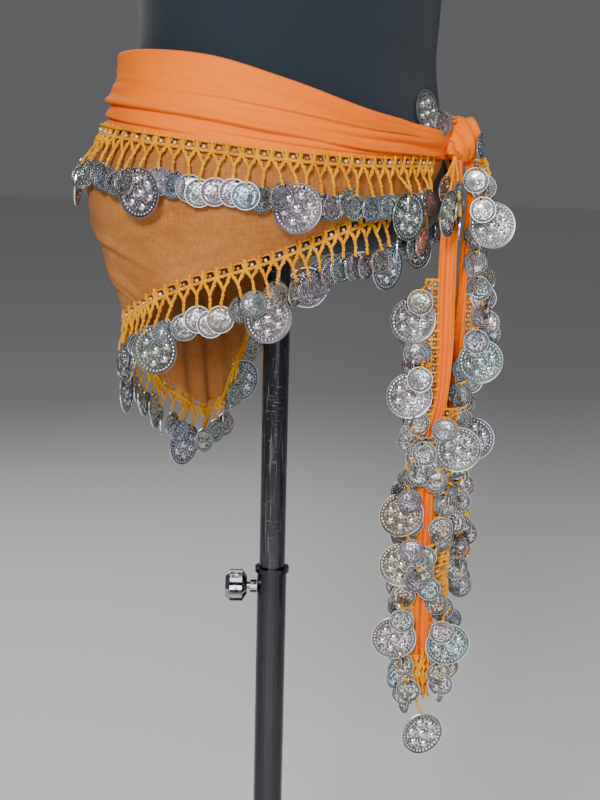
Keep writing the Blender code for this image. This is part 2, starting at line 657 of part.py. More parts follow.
def build_clamp(chrome):
    """Boss on the lower tube, and the star knob on its screw."""
    wall = [BOSS_RADIUS] * 16
    ring_loft("clamp_boss", [side_ring(-LOWER_TUBE_RADIUS - SEAM_GAP, wall),
                             side_ring(-BOSS_REACH, wall)], chrome)
    lobed = [KNOB_RADIUS * (0.90 + 0.10 * math.cos(KNOB_LOBES * 2 * math.pi * k / 24))
             for k in range(24)]
    shank = [SCREW_RADIUS] * 24
    rings = [side_ring(-BOSS_REACH - SEAM_GAP, shank), side_ring(-KNOB_INNER, shank),
             side_ring(-KNOB_INNER, [0.55 * r for r in lobed]),
             side_ring(-KNOB_INNER - 0.004, lobed), side_ring(-KNOB_OUTER + 0.004, lobed),
             side_ring(-KNOB_OUTER, [0.75 * r for r in lobed])]
    ring_loft("clamp_knob", rings, chrome, 35)


def main():
    remove_everything()
    orange = finish_material("orange_chiffon", (0.80, 0.24, 0.08), 0.75, 0.0)
    crochet = finish_material("silver_coin_lace", (0.48, 0.46, 0.46), 0.35, 0.8)
    jersey = finish_material("slate_jersey", (0.05, 0.08, 0.11), 0.85, 0.0)
    cap = finish_material("dark_cap", (0.03, 0.03, 0.03), 0.5, 0.0)
    chrome = finish_material("chromed_tube", (0.55, 0.56, 0.58), 0.2, 1.0)
    enamel = finish_material("black_enamel", (0.02, 0.02, 0.02), 0.35, 0.0)
    build_form(jersey, cap)
    build_stand(enamel, chrome)
    build_clamp(chrome)
    upper_spots, upper_edges = strand_spots(upper_place, UPPER_HEM, 19, 345)
    under_spots, under_edges = strand_spots(under_place, UNDER_HEM, 18, 342)
    build_under_layer(under_edges, orange)
    build_upper_layer(upper_edges, orange)
    build_knot(orange)
    build_tail("tail_long", LONG_TAIL_ROWS, orange)
    build_tail("tail_short", SHORT_TAIL_ROWS, orange)
    build_ring_fringe("fringe_upper", upper_place, UPPER_HEM, upper_spots, upper_edges,
                      UPPER_LIFT, UPPER_LARGE, crochet)
    build_ring_fringe("fringe_lower", under_place, UNDER_HEM, under_spots, under_edges,
                      0.0, LOWER_LARGE, crochet)
    build_knot_fringe(crochet)
    build_tail_fringe("fringe_long_left", LONG_TAIL_ROWS, crochet, TIP_COIN)
    build_tail_fringe("fringe_long_right", LONG_TAIL_ROWS, crochet)
    build_tail_fringe("fringe_short_left", SHORT_TAIL_ROWS, crochet)
    build_tail_fringe("fringe_short_right", SHORT_TAIL_ROWS, crochet)


main()
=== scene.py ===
"""Looks of a belly dance hip scarf tied on a limbless dress form and its pole stand.

The file follows the object as it is put together: stand, form, cloth, crochet, beads and coins.
"""
import functools
import math
import random

import bmesh
import bpy
from mathutils import Matrix, Vector


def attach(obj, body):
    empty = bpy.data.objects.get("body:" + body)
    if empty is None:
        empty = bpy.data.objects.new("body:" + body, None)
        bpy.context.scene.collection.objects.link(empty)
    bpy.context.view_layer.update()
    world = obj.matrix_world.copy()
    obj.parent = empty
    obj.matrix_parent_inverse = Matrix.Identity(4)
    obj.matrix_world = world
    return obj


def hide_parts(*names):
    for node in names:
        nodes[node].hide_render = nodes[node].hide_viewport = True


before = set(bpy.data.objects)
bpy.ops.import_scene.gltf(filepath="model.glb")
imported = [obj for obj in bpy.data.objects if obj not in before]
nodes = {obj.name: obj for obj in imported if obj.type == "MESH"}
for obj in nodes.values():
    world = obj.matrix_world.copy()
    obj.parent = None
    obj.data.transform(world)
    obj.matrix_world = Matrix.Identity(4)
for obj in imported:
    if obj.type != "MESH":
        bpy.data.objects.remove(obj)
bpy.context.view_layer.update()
collection = bpy.context.scene.collection
UP = Vector((0, 0, 1))

# ---- camera ----
# A hand-held camera at waist height, about 1.3 m in front, looking a little down, with the
# scarf filling the upright frame.
CAMERA_PLACE = Vector((0.021, -1.284, 0.970))
CAMERA_DOWN, CAMERA_ROLL = math.radians(11.0), math.radians(1.3)
CAMERA_LENS = 69.3

camera = bpy.data.objects.new("camera", bpy.data.cameras.new("camera"))
collection.objects.link(camera)
camera.data.lens = CAMERA_LENS
camera.data.sensor_width = 36.0
camera.data.clip_end = 60.0
camera.matrix_world = (Matrix.Translation(CAMERA_PLACE)
                       @ Matrix.Rotation(math.radians(90) - CAMERA_DOWN, 4, "X")
                       @ Matrix.Rotation(CAMERA_ROLL, 4, "Z"))
bpy.context.scene.camera = camera


# ---- stand: steel base, two chromed tubes and the clamp ----
# A pressed steel disc in black enamel carries a chromed tube, whose colour is a painted dark
# reflection of dark surroundings; a thinner tube slides in it and is held by a bright star knob.
# The thinner one is scratched where the clamp has rubbed it.
ENAMEL = (0.018, 0.018, 0.020)
# base colour of the tube's chrome: painted dark, a painted reflection of dark surroundings
CHROME_PAINTED_DARK = (0.058, 0.060, 0.067)
KNOB_CHROME = (0.36, 0.37, 0.40)
WORN_CHROME = (0.075, 0.078, 0.088)
SCRATCH = (0.50, 0.52, 0.56)


class Finish:
    """A material, with the pattern nodes that feed its shader."""

    def __init__(self, name, colour, roughness, metallic=0.0, more=None):
        self.material = bpy.data.materials.new(name)
        self.material.use_nodes = True
        self.tree = self.material.node_tree
        self.shader = self.tree.nodes["Principled BSDF"]
        sockets = {"Base Color": (*colour, 1.0), "Roughness": roughness, "Metallic": metallic}
        for socket, value in {**sockets, **(more or {})}.items():
            self.shader.inputs[socket].default_value = value

    def feed(self, socket, value):
        self.tree.links.new(value, self.shader.inputs[socket])

    def add(self, kind, inputs=None, **settings):
        """Shader node with its settings, and with each input set or linked; returns the node."""
        made = self.tree.nodes.new("ShaderNode" + kind)
        for name, value in settings.items():
            setattr(made, name, value)
        for key, value in (inputs or {}).items():
            if isinstance(value, bpy.types.NodeSocket):
                self.tree.links.new(value, made.inputs[key])
            else:
                made.inputs[key].default_value = value
        return made

    def maths(self, operation, *values, clamp=False):
        return self.add("Math", dict(enumerate(values)), operation=operation,
                        use_clamp=clamp).outputs[0]

    def vectors(self, operation, first, second=(0, 0, 0)):
        return self.add("VectorMath", {0: first, 1: second}, operation=operation).outputs

    def blend(self, share, low, high):
        """Colour between two; each is a colour or another node's output."""
        low, high = (side if isinstance(side, bpy.types.NodeSocket) else (*side, 1.0)
                     for side in (low, high))
        return self.add("Mix", {0: share, 6: low, 7: high}, data_type="RGBA").outputs[2]

    def ramp(self, value, *stops):
        """Ramp through stops, each a place and a colour or a level of grey."""
        made = self.add("ValToRGB", {"Fac": value})
        elements = made.color_ramp.elements
        while len(elements) < len(stops):
            elements.new(0.5)
        for element, (place, colour) in zip(elements, stops):
            element.position = place
            element.color = (*(colour if isinstance(colour, tuple) else (colour,) * 3), 1.0)
        return made.outputs["Color"]

    def noise(self, scale, detail=2.0, roughness=0.5, stretch=(1, 1, 1), turn=(0, 0, 0), on=None):
        """Clouded pattern in the piece's own space, stretched and turned, or on a vector."""
        if on is None:
            on = self.add("Mapping", {"Vector": self.add("TexCoord").outputs["Object"],
                                      "Scale": stretch, "Rotation": turn}).outputs["Vector"]
        return self.add("TexNoise", {"Vector": on, "Scale": scale, "Detail": detail,
                                     "Roughness": roughness}).outputs["Fac"]

    def emboss(self, height, strength, distance):
        relief = self.add("Bump", {"Height": height, "Strength": strength, "Distance": distance})
        self.feed("Normal", relief.outputs["Normal"])


def coat(finish, *node_names):
    for name in node_names:
        for slot in nodes[name].material_slots:
            slot.material = finish.material


enamel = Finish("black_enamel", ENAMEL, 0.34)
enamel.feed("Roughness", enamel.ramp(enamel.noise(14.0), (0.3, 0.26), (0.7, 0.42)))
enamel.emboss(enamel.noise(900.0), 0.15, 0.0002)
coat(enamel, "stand_base", "form_plate")

# the tube's chrome, its colour painted dark as a painted reflection of dark surroundings
chrome_painted_dark = Finish("polished_chrome_painted_dark", CHROME_PAINTED_DARK, 0.16, 1.0)
smear = chrome_painted_dark.noise(160.0, stretch=(1, 1, 0.15))
chrome_painted_dark.feed("Roughness", chrome_painted_dark.ramp(smear, (0.35, 0.10), (0.7, 0.30)))
coat(chrome_painted_dark, "mast_lower")

knob_chrome = Finish("bright_chrome", KNOB_CHROME, 0.14, 1.0)
haze = knob_chrome.noise(260.0)
knob_chrome.feed("Roughness", knob_chrome.ramp(haze, (0.3, 0.08), (0.75, 0.26)))
coat(knob_chrome, "clamp_boss", "clamp_knob")

worn = Finish("scratched_chrome", WORN_CHROME, 0.25, 1.0)
long_marks = worn.ramp(worn.noise(900.0, 3.0, 0.6, stretch=(1, 1, 0.03)), (0.54, 0.0), (0.70, 0.75))
cross_marks = worn.ramp(worn.noise(900.0, stretch=(0.12, 0.12, 1), turn=(0.1, 0.06, 0)),
                        (0.62, 0.0), (0.70, 0.5))
patches = worn.ramp(worn.noise(22.0), (0.36, 0.15), (0.60, 1.0))
marks = worn.maths("MULTIPLY", worn.maths("MAXIMUM", long_marks, cross_marks), patches)
worn.feed("Base Color", worn.blend(marks, WORN_CHROME, SCRATCH))
worn.feed("Roughness", worn.maths("MULTIPLY_ADD", marks, 0.35, 0.20))
coat(worn, "mast_upper")


# ---- form: moulded shell under a stretched jersey cover ----
# The limbless form is a moulded torso in a slate-blue rib-knit cover.  It stands on a steel
# plate on the pole, and a matt plastic cap closes its neck.
FORM_FACES = math.radians(-45)
FORM_CENTRE_X = 0.008
#  height, half breadth, half depth, shift toward the back
FORM_ROWS = (
    (0.852, 0.134, 0.093, 0.018),
    (0.858, 0.147, 0.105, 0.018),
    (0.874, 0.160, 0.117, 0.018),
    (0.896, 0.166, 0.122, 0.018),
    (0.930, 0.159, 0.118, 0.012),
    (0.965, 0.147, 0.109, 0.006),
    (1.000, 0.138, 0.103, 0.002),
    (1.030, 0.137, 0.103, 0.000),
    (1.080, 0.141, 0.106, 0.000),
    (1.150, 0.149, 0.112, 0.000),
    (1.230, 0.156, 0.117, -0.002),
    (1.310, 0.164, 0.114, -0.002),
    (1.380, 0.168, 0.102, 0.000),
    (1.425, 0.152, 0.088, 0.004),
    (1.455, 0.112, 0.073, 0.006),
    (1.478, 0.072, 0.062, 0.004),
    (1.500, 0.058, 0.056, 0.002),
    (1.530, 0.056, 0.055, 0.002),
)
FORM_COLUMNS, FORM_RINGS = 144, 110
FORM_ROUND = 0.90  # metres round the form, for the rib count
RIB_PITCH = 0.0013
WAVE_SCALE = math.pi / 10  # of the wave pattern, for one rib across the map
JERSEY = (0.006, 0.011, 0.018)
JERSEY_LIGHT = (0.015, 0.024, 0.035)
CAP_BLACK = (0.03, 0.03, 0.03)


@functools.lru_cache(maxsize=None)
def read_table(rows, column, at):
    """Smooth value of a table's column at a place along its first column."""
    ordered = rows if rows[0][0] < rows[-1][0] else rows[::-1]
    at = min(max(at, ordered[0][0]), ordered[-1][0])
    k = 0
    while k < len(ordered) - 2 and at > ordered[k + 1][0]:
        k += 1
    before, low, high = ordered[max(k - 1, 0)], ordered[k], ordered[k + 1]
    after = ordered[min(k + 2, len(ordered) - 1)]
    span = high[0] - low[0]
    slope_low = (high[column] - before[column]) / (high[0] - before[0]) * span
    slope_high = (after[column] - low[column]) / (after[0] - low[0]) * span
    t = (at - low[0]) / span
    return ((2 * t**3 - 3 * t**2 + 1) * low[column] + (t**3 - 2 * t**2 + t) * slope_low
            + (3 * t**2 - 2 * t**3) * high[column] + (t**3 - t**2) * slope_high)


def form_point(angle, height, clear=0.0):
    """Point of the form's round at an angle, or so much clear of it."""
    breadth, depth, shift = (read_table(FORM_ROWS, column, height) for column in (1, 2, 3))
    turned = angle - FORM_FACES
    reach = clear + 1 / math.hypot(math.cos(turned) / depth, math.sin(turned) / breadth)
    return Vector((FORM_CENTRE_X - shift * math.cos(FORM_FACES) + reach * math.cos(angle),
                   -shift * math.sin(FORM_FACES) + reach * math.sin(angle), height))


def smooth_mesh(name, bm):
    mesh = bpy.data.meshes.new(name)
    bm.to_mesh(mesh)
    bm.free()
    mesh.shade_smooth()
    return mesh


def new_piece(name, mesh, finish):
    mesh.materials.clear()
    mesh.materials.append(finish.material)
    piece = bpy.data.objects.new(name, mesh)
    collection.objects.link(piece)
    return piece


def dress(piece, slot, *plain):
    """The piece turns with the form and stands for its plain node if any; slot is not used."""
    for node_name in plain:
        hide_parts(node_name)
    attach(piece, "form")


def grid_surface(columns, rows, place):
    """Sheet of columns by rows cells set by place(share across, share down), with a UV map."""
    bm = bmesh.new()
    bm.loops.layers.uv.new("weave")
    bmesh.ops.create_grid(bm, x_segments=columns, y_segments=rows, size=0.5, calc_uvs=True)
    for vert in bm.verts:
        vert.co = place(vert.co.x + 0.5, 0.5 - vert.co.y)
    return bm


def jersey_place(around, down):
    low, high = FORM_ROWS[0][0], FORM_ROWS[-1][0]
    return form_point(2 * math.pi * around, high + (low - high) * down)


jersey = Finish("slate_jersey", JERSEY, 0.82, more={
    "Sheen Weight": 0.12, "Sheen Roughness": 0.45, "Specular IOR Level": 0.25})
ribs = jersey.add("TexWave", {"Vector": jersey.add("UVMap", uv_map="weave").outputs["UV"],
                              "Scale": WAVE_SCALE * FORM_ROUND / RIB_PITCH,
                              "Distortion": 0.0}).outputs["Fac"]
mottle = jersey.maths("MULTIPLY", jersey.noise(9.0, 3.0), 0.5)
jersey.feed("Base Color", jersey.blend(jersey.maths("MULTIPLY_ADD", ribs, 0.5, mottle),
                                       JERSEY, JERSEY_LIGHT))
loops = jersey.noise(900.0, 1.0, stretch=(1, 1, 2.0))
jersey.emboss(jersey.maths("MULTIPLY_ADD", loops, 0.5, ribs), 0.45, 0.0004)

bm = grid_surface(FORM_COLUMNS, FORM_RINGS, jersey_place)
bmesh.ops.remove_doubles(bm, verts=bm.verts, dist=1e-6)
bmesh.ops.holes_fill(bm, edges=[edge for edge in bm.edges if edge.is_boundary], sides=0)
bmesh.ops.recalc_face_normals(bm, faces=bm.faces)
jersey_cover = new_piece("jersey_cover", smooth_mesh("jersey_cover", bm), jersey)
jersey_cover.data.set_sharp_from_angle(angle=math.radians(50))
dress(jersey_cover, "jersey", "form_torso")

cap_plastic = Finish("neck_cap_plastic", CAP_BLACK, 0.60, more={"Specular IOR Level": 0.15})
cap_plastic.emboss(cap_plastic.noise(1400.0), 0.2, 0.0001)
coat(cap_plastic, "form_cap")


# ---- under layer: the deep side of the chiffon triangle ----
# A shallow triangle of crepe chiffon is folded over along its long edge.  This deeper side lies
# on the form, hangs to a point behind the hip and shows its inner face there.
#  bearing in degrees from the knot past the front, top fold, upper hem, under hem, stand-off
SCARF_ROWS = (
    (10, 0.951, 0.926, 0.910, 0.012),
    (20, 0.952, 0.926, 0.902, 0.010),
    (34, 0.9545, 0.927, 0.893, 0.002),
    (60, 0.9645, 0.928, 0.879, 0.002),
    (92, 0.985, 0.933, 0.853, 0.003),
    (114, 0.999, 0.939, 0.836, 0.004),
    (134, 1.003, 0.944, 0.814, 0.006),
    (158, 1.001, 0.947, 0.786, 0.008),
    (184, 0.997, 0.943, 0.741, 0.010),
    (208, 0.996, 0.937, 0.713, 0.009),
    (231, 0.991, 0.932, 0.703, 0.008),
    (246, 0.987, 0.930, 0.733, 0.007),
    (260, 0.982, 0.930, 0.782, 0.006),
    (278, 0.976, 0.930, 0.833, 0.005),
    (304, 0.967, 0.929, 0.872, 0.003),
    (334, 0.957, 0.927, 0.896, 0.003),
    (354, 0.951, 0.926, 0.910, 0.010),
)
TOP, UPPER_HEM, UNDER_HEM, STAND_OFF = 1, 2, 3, 4
SCARF_START, SCARF_END = 3.0, 361.0
#  the ends are gathered into the knot: degrees over which an edge is drawn in, its height there
GATHERED_TOP, GATHERED_HEM = (36.0, 0.9430), (11.0, 0.9250)
UNDER_CLEAR, UPPER_CLEAR, FOLD_ROOM = 0.0020, 0.0044, 0.0035
HIP_HEIGHT = 0.896
PAST_TOP = 1.15  # of the band's depth, where the stand-off stops growing
SOLID_WALL = 0.0012
CLOTH_THICKNESS = 0.0007
#  below the hip the cloth hangs free and is drawn in by the tie: height, distance
DRAW_IN = ((0.650, 0.052), (0.700, 0.048), (0.740, 0.043), (0.787, 0.036), (0.820, 0.026),
           (0.850, 0.014), (0.862, 0.009), (0.880, 0.002), (0.896, 0.000))
#  hanging folds, deepening from a height over a fall: bearing, half breadth in degrees, height
FOLDS_FROM, FOLDS_FALL = 0.872, 0.06
HANGING_FOLDS = (
    (104, 6, 0.0020), (126, 7, 0.0035), (149, 6, 0.0045), (171, 8, 0.0040), (192, 7, 0.0060),
    (213, 6, 0.0050), (229, 5, 0.0075), (244, 6, 0.0050), (262, 7, 0.0040),
)
#  drag lines toward the tie: bearing and height at each end, depth, half breadth
DRAG_LINES = (
    (150, 0.868, 100, 0.905, 0.0017, 0.0050),
    (168, 0.842, 112, 0.880, 0.0012, 0.0060),
    (136, 0.835, 96, 0.868, 0.0010, 0.0045),
    (118, 0.905, 72, 0.912, 0.0009, 0.0040),
    (196, 0.900, 150, 0.925, 0.0012, 0.0060),
    (240, 0.900, 300, 0.915, 0.0011, 0.0055),
    (228, 0.850, 280, 0.880, 0.0012, 0.0060),
    (205, 0.820, 172, 0.872, 0.0013, 0.0070),
    (176, 0.862, 138, 0.812, 0.0042, 0.0050),
    (168, 0.880, 126, 0.842, 0.0036, 0.0045),
    (158, 0.846, 128, 0.806, 0.0032, 0.0040),
    (184, 0.848, 158, 0.800, 0.0034, 0.0042),
)
UNDER_COLUMNS, UNDER_RINGS = 360, 64
SINGLE_CHIFFON = (0.262, 0.076, 0.013)
SINGLE_CHIFFON_LIGHT = (0.49, 0.203, 0.056)
THREADS_PER_METRE = 1500


def bump(distance, half_breadth):
    return math.exp(-(distance / half_breadth) ** 2)


def band_edges(bearing):
    """Heights of the top fold and of the upper hem."""
    return [read_table(SCARF_ROWS, column, bearing) for column in (TOP, UPPER_HEM)]


def scarf_place(bearing, height, clear):
    """Point of the scarf's round: on the form down to the hip, hanging free below it."""
    if height < HIP_HEIGHT:
        clear -= read_table(DRAW_IN, 1, height)
    top, hem = band_edges(bearing)
    share = min(max((height - hem) / (top - hem), 0.0), PAST_TOP)
    clear += read_table(SCARF_ROWS, STAND_OFF, bearing) * share**2
    point = form_point(-math.radians(bearing), max(height, HIP_HEIGHT), clear)
    point.z = height
    return point


@functools.lru_cache(maxsize=None)
def outward(bearing, height):
    """Level direction square to the scarf's round."""
    along = scarf_place(bearing + 1, height, 0.0) - scarf_place(bearing - 1, height, 0.0)
    return Vector((-along.y, along.x, 0.0)).normalized()


def hanging_relief(bearing, height):
    start = min(max((FOLDS_FROM - height) / FOLDS_FALL, 0.0), 1.0)
    return start * sum(fold * bump(bearing - middle, half) for middle, half, fold in HANGING_FOLDS)


def near_lines(lines, bearing, level, past=0.0):
    """Of each line beside a point: share run along it, distance off it, its depth and breadth."""
    for start, low, end, high, depth, breadth in lines:
        run = (bearing - start) / (end - start)
        if -past < run < 1 + past:
            yield run, level - (low + (high - low) * run), depth, breadth


def drag_relief(bearing, height):
    """Soft ridges with a fine trough beside each."""
    return sum(depth * math.sin(math.pi * run) ** 0.7
               * (bump(off, half) - 0.6 * bump(off + 1.3 * half, half * 0.6))
               for run, off, depth, half in near_lines(DRAG_LINES, bearing, height))


def gathered(bearing, top, hem):
    """Top and hem of a layer, drawn together where its ends go into the knot."""
    near = min(bearing - SCARF_START, SCARF_END - bearing)
    return [edge + (knotted - edge) * max(0.0, 1 - near / span) ** 1.4
            for edge, (span, knotted) in ((top, GATHERED_TOP), (hem, GATHERED_HEM))]


def under_place(bearing, height):
    return scarf_place(bearing, height, UNDER_CLEAR + hanging_relief(bearing, height))


def under_surface(around, down):
    bearing = SCARF_START + (SCARF_END - SCARF_START) * around
    top, hem = gathered(bearing, read_table(SCARF_ROWS, TOP, bearing) - FOLD_ROOM,
                        read_table(SCARF_ROWS, UNDER_HEM, bearing))
    height = top + (hem - top) * down
    return (under_place(bearing, height)
            + outward(bearing, hem) * (SOLID_WALL + drag_relief(bearing, height)))


def chiffon(name, low, high, flecked):
    """Crepe chiffon: fine crossed threads, a pebbled twist, and slubs as flecked as asked."""
    cloth = Finish(name, low, 0.66, more={
        "Sheen Weight": 0.02, "Sheen Roughness": 0.40, "Specular IOR Level": 0.10})
    crepe = cloth.noise(THREADS_PER_METRE, roughness=0.6)
    slubs = cloth.noise(560.0, stretch=(1, 1, 0.10))
    threads = cloth.noise(700.0, stretch=(0.10, 0.10, 1))
    cloud = cloth.noise(16.0, 3.0)
    weave = cloth.maths("ADD", cloth.maths("MULTIPLY", slubs, 0.75),
                        cloth.maths("MULTIPLY", threads, 0.45))
    share = cloth.maths("ADD", cloth.maths("MULTIPLY", cloud, 0.35),
                        cloth.maths("MULTIPLY", cloth.maths("ADD", crepe, weave), 0.36))
    share = cloth.ramp(share, (0.58 - 0.5 / flecked, 0.0), (0.58 + 0.5 / flecked, 1.0))
    cloth.feed("Base Color", cloth.blend(share, low, high))
    cloth.emboss(cloth.maths("MULTIPLY_ADD", slubs, 0.5, crepe), 0.35, 0.0004)
    return cloth


def cloth_piece(name, bm, finish):
    """Give a sheet its thickness and make it a piece that faces outwards."""
    bmesh.ops.recalc_face_normals(bm, faces=bm.faces)
    bmesh.ops.solidify(bm, geom=bm.faces[:], thickness=CLOTH_THICKNESS)
    bmesh.ops.recalc_face_normals(bm, faces=bm.faces)
    return new_piece(name, smooth_mesh(name, bm), finish)


single_chiffon = chiffon("single_orange_chiffon", SINGLE_CHIFFON, SINGLE_CHIFFON_LIGHT, 2.8)
under_layer = cloth_piece("under_layer", grid_surface(UNDER_COLUMNS, UNDER_RINGS, under_surface),
                          single_chiffon)
dress(under_layer, "chiffon", "scarf_under")


# ---- upper layer: the shallow side, turned over at the top ----
# The same chiffon, folded down over the under layer.  Doubled and pulled tight toward the knot,
# it is a stronger orange, with long diagonal folds that run to the tie.
#  soft ridges: bearing and share of the band's depth at each end, height, breadth
BAND_FOLDS = (
    (10, 0.42, 240, 0.44, 0.0034, 0.20),
    (20, 0.84, 205, 0.66, 0.0034, 0.12),
    (16, 0.52, 120, 0.12, 0.0018, 0.12),
    (225, 0.55, 350, 0.50, 0.0024, 0.15),
)
#  folds with a lip that overhangs what is below: bearing and share at each end, step, breadth
BAND_LIPS = (
    (75, 0.745, 240, 0.560, 0.0042, 0.090),
    (10, 0.910, 90, 0.722, 0.0032, 0.085),
    (112, 0.920, 232, 0.755, 0.0022, 0.060),
    (40, 0.900, 120, 0.830, 0.0010, 0.050),
    (24, 0.300, 132, 0.460, 0.0014, 0.060),
)
LIP_EDGE = 0.16  # of a lip's breadth, over which it drops
RIDGE_PAST, RIDGE_FADE = 0.1, 6  # ridges run on past their ends, and how fast they fade
CREASE_START, CREASE_FADE = 9, 3  # how fast creases and lips deepen, and fade
#  soft troughs pulled toward the knot: bearing and share at each end, depth, breadth
BAND_CREASES = (
    (14, 0.10, 150, 0.17, 0.0016, 0.060),
    (16, 0.30, 120, 0.58, 0.0013, 0.045),
    (12, 0.55, 88, 0.60, 0.0014, 0.050),
    (128, 0.42, 196, 0.30, 0.0016, 0.050),
    (104, 0.36, 160, 0.22, 0.0013, 0.045),
    (150, 0.30, 222, 0.16, 0.0012, 0.050),
    (196, 0.34, 262, 0.44, 0.0016, 0.050),
    (236, 0.70, 346, 0.58, 0.0018, 0.045),
    (250, 0.24, 350, 0.36, 0.0015, 0.045),
    (288, 0.84, 340, 0.72, 0.0011, 0.040),
)
UPPER_COLUMNS, UPPER_RINGS = 320, 84
ROLL_SHARE = 0.12  # of the sheet's rings go over the top fold
ROLL_RADIUS = 0.0017
PUFF_OVER, PUFF_CURVE = 6, 0.7  # how the band swells out under the roll
FOLDED_CHIFFON = (0.78, 0.112, 0.0)
FOLDED_CHIFFON_LIGHT = (0.95, 0.222, 0.0)


def upper_place_plain(bearing, height):
    """The band without its fine creases, for what is sewn to it."""
    top, hem = band_edges(bearing)
    clear = UPPER_CLEAR
    for run, off, rise, breadth in near_lines(BAND_FOLDS, bearing, (top - height) / (top - hem),
                                              RIDGE_PAST):
        inside = min(run, 1 - run) + RIDGE_PAST
        clear += rise * min(1.0, inside * RIDGE_FADE) * bump(off, breadth)
    return scarf_place(bearing, height, clear)


def crease_relief(bearing, share):
    relief = 0.0
    for lines, lipped in ((BAND_CREASES, False), (BAND_LIPS, True)):
        for run, off, depth, breadth in near_lines(lines, bearing, share):
            ends = min(1.0, run * CREASE_START, (1 - run) * CREASE_FADE)
            edge = math.tanh(off / (LIP_EDGE * breadth)) if lipped else 1.0
            relief -= depth * ends * edge * bump(off, breadth)
    return relief


def upper_surface(around, down):
    bearing = SCARF_START + (SCARF_END - SCARF_START) * around
    top, hem = gathered(bearing, *band_edges(bearing))
    out = outward(bearing, top)
    fold = scarf_place(bearing, top, UNDER_CLEAR) + out * ROLL_RADIUS
    if down < ROLL_SHARE:
        turn = math.pi * (1 - down / ROLL_SHARE)
        return fold + (out * math.cos(turn) + UP * math.sin(turn)) * ROLL_RADIUS
    share = (down - ROLL_SHARE) / (1 - ROLL_SHARE)
    fall = (upper_place_plain(bearing, top + (hem - top) * share)
            + out * (SOLID_WALL + crease_relief(bearing, share)))
    start = fold + out * ROLL_RADIUS
    start.z = fall.z
    return start.lerp(fall, min(1.0, share * PUFF_OVER) ** PUFF_CURVE)


folded_chiffon = chiffon("folded_orange_chiffon", FOLDED_CHIFFON, FOLDED_CHIFFON_LIGHT, 1.1)
upper_layer = cloth_piece("upper_layer", grid_surface(UPPER_COLUMNS, UPPER_RINGS, upper_surface),
                          folded_chiffon)
dress(upper_layer, "chiffon", "scarf_upper")


# ---- knot: the two ends of the scarf tied over each other ----
# A tight round of gathered chiffon at the side of the hip: one end of the scarf is wrapped across
# the other.  Both layers and both tails run into it, and it holds the scarf by its own grip.
KNOT_CENTRE = Vector((0.1505, -0.0050, 0.9400))
KNOT_ACROSS, KNOT_THROUGH, KNOT_TALL = 0.0160, 0.0150, 0.0215
#  the wrap's folds curve round a point at the band's side: its place, their spacing and height
WRAP_X, WRAP_Z, WRAP_SPACING, WRAP_HEIGHT = -0.75, -0.45, 0.46, 0.085
CRUMPLES, CRUMPLE_HEIGHT = 26, 0.012
#  under the wrap the ends leave in pleats, drawn in: where this starts, over how much height
NECK_FROM, NECK_OVER, NECK_IN, NECK_PLEATS, PLEAT_HEIGHT = -0.25, 0.5, 0.16, 4.5, 0.10
BAND_PULL = Vector((-0.0100, -0.0030, 0.0010))  # the side drawn out toward the band

bm = bmesh.new()
bmesh.ops.create_uvsphere(bm, u_segments=120, v_segments=96, radius=1.0)
for vert in bm.verts:
    x, y, z = vert.co
    reach = math.hypot(x - WRAP_X, z - WRAP_Z)
    fan = 0.10 * math.sin(3 * math.atan2(z - WRAP_Z, x - WRAP_X))
    folds = (WRAP_HEIGHT * (1 - 2 * abs(math.sin(math.pi * (reach + fan) / WRAP_SPACING)))
             + CRUMPLE_HEIGHT * math.cos(CRUMPLES * reach + 2.0 * y))
    under = min(max((NECK_FROM - z + 0.30 * x) / NECK_OVER, 0.0), 1.0)
    pleats = (abs(math.cos(NECK_PLEATS * math.atan2(x, -y) + 1.3 * z)) - 0.55) * (1 - z * z)
    scale = 0.95 + folds * (1 - under) + (PLEAT_HEIGHT * pleats - NECK_IN) * under
    vert.co = Vector((x * KNOT_THROUGH, y * KNOT_ACROSS, z * KNOT_TALL)) * scale
    vert.co += KNOT_CENTRE + BAND_PULL * max(0.0, -x - 0.2) ** 2
tied_knot = new_piece("tied_knot", smooth_mesh("tied_knot", bm), folded_chiffon)
dress(tied_knot, "chiffon", "knot")


# ---- tails: the pointed ends of the scarf ----
# Past the knot each end hangs free as a narrow strip, gathered lengthwise into soft pleats that
# twist slowly as they fall.
#  height, centre x, centre y, half breadth, fold depth
LONG_TAIL_ROWS = (
    (0.9340, 0.1475, -0.0085, 0.0035, 0.0010),
    (0.9218, 0.1450, -0.0100, 0.0045, 0.0015),
    (0.9050, 0.1430, -0.0180, 0.0062, 0.0022),
    (0.8680, 0.1400, -0.0225, 0.0070, 0.0026),
    (0.8110, 0.1395, -0.0230, 0.0075, 0.0026),
    (0.7690, 0.1400, -0.0230, 0.0068, 0.0024),
    (0.7280, 0.1380, -0.0230, 0.0058, 0.0024),
    (0.6920, 0.1312, -0.0230, 0.0070, 0.0030),
    (0.6580, 0.1300, -0.0230, 0.0080, 0.0035),
    (0.6140, 0.1297, -0.0230, 0.0085, 0.0035),
    (0.5700, 0.1297, -0.0230, 0.0090, 0.0030),
    (0.5030, 0.1304, -0.0230, 0.0085, 0.0025),
    (0.4670, 0.1318, -0.0230, 0.0030, 0.0010),
)
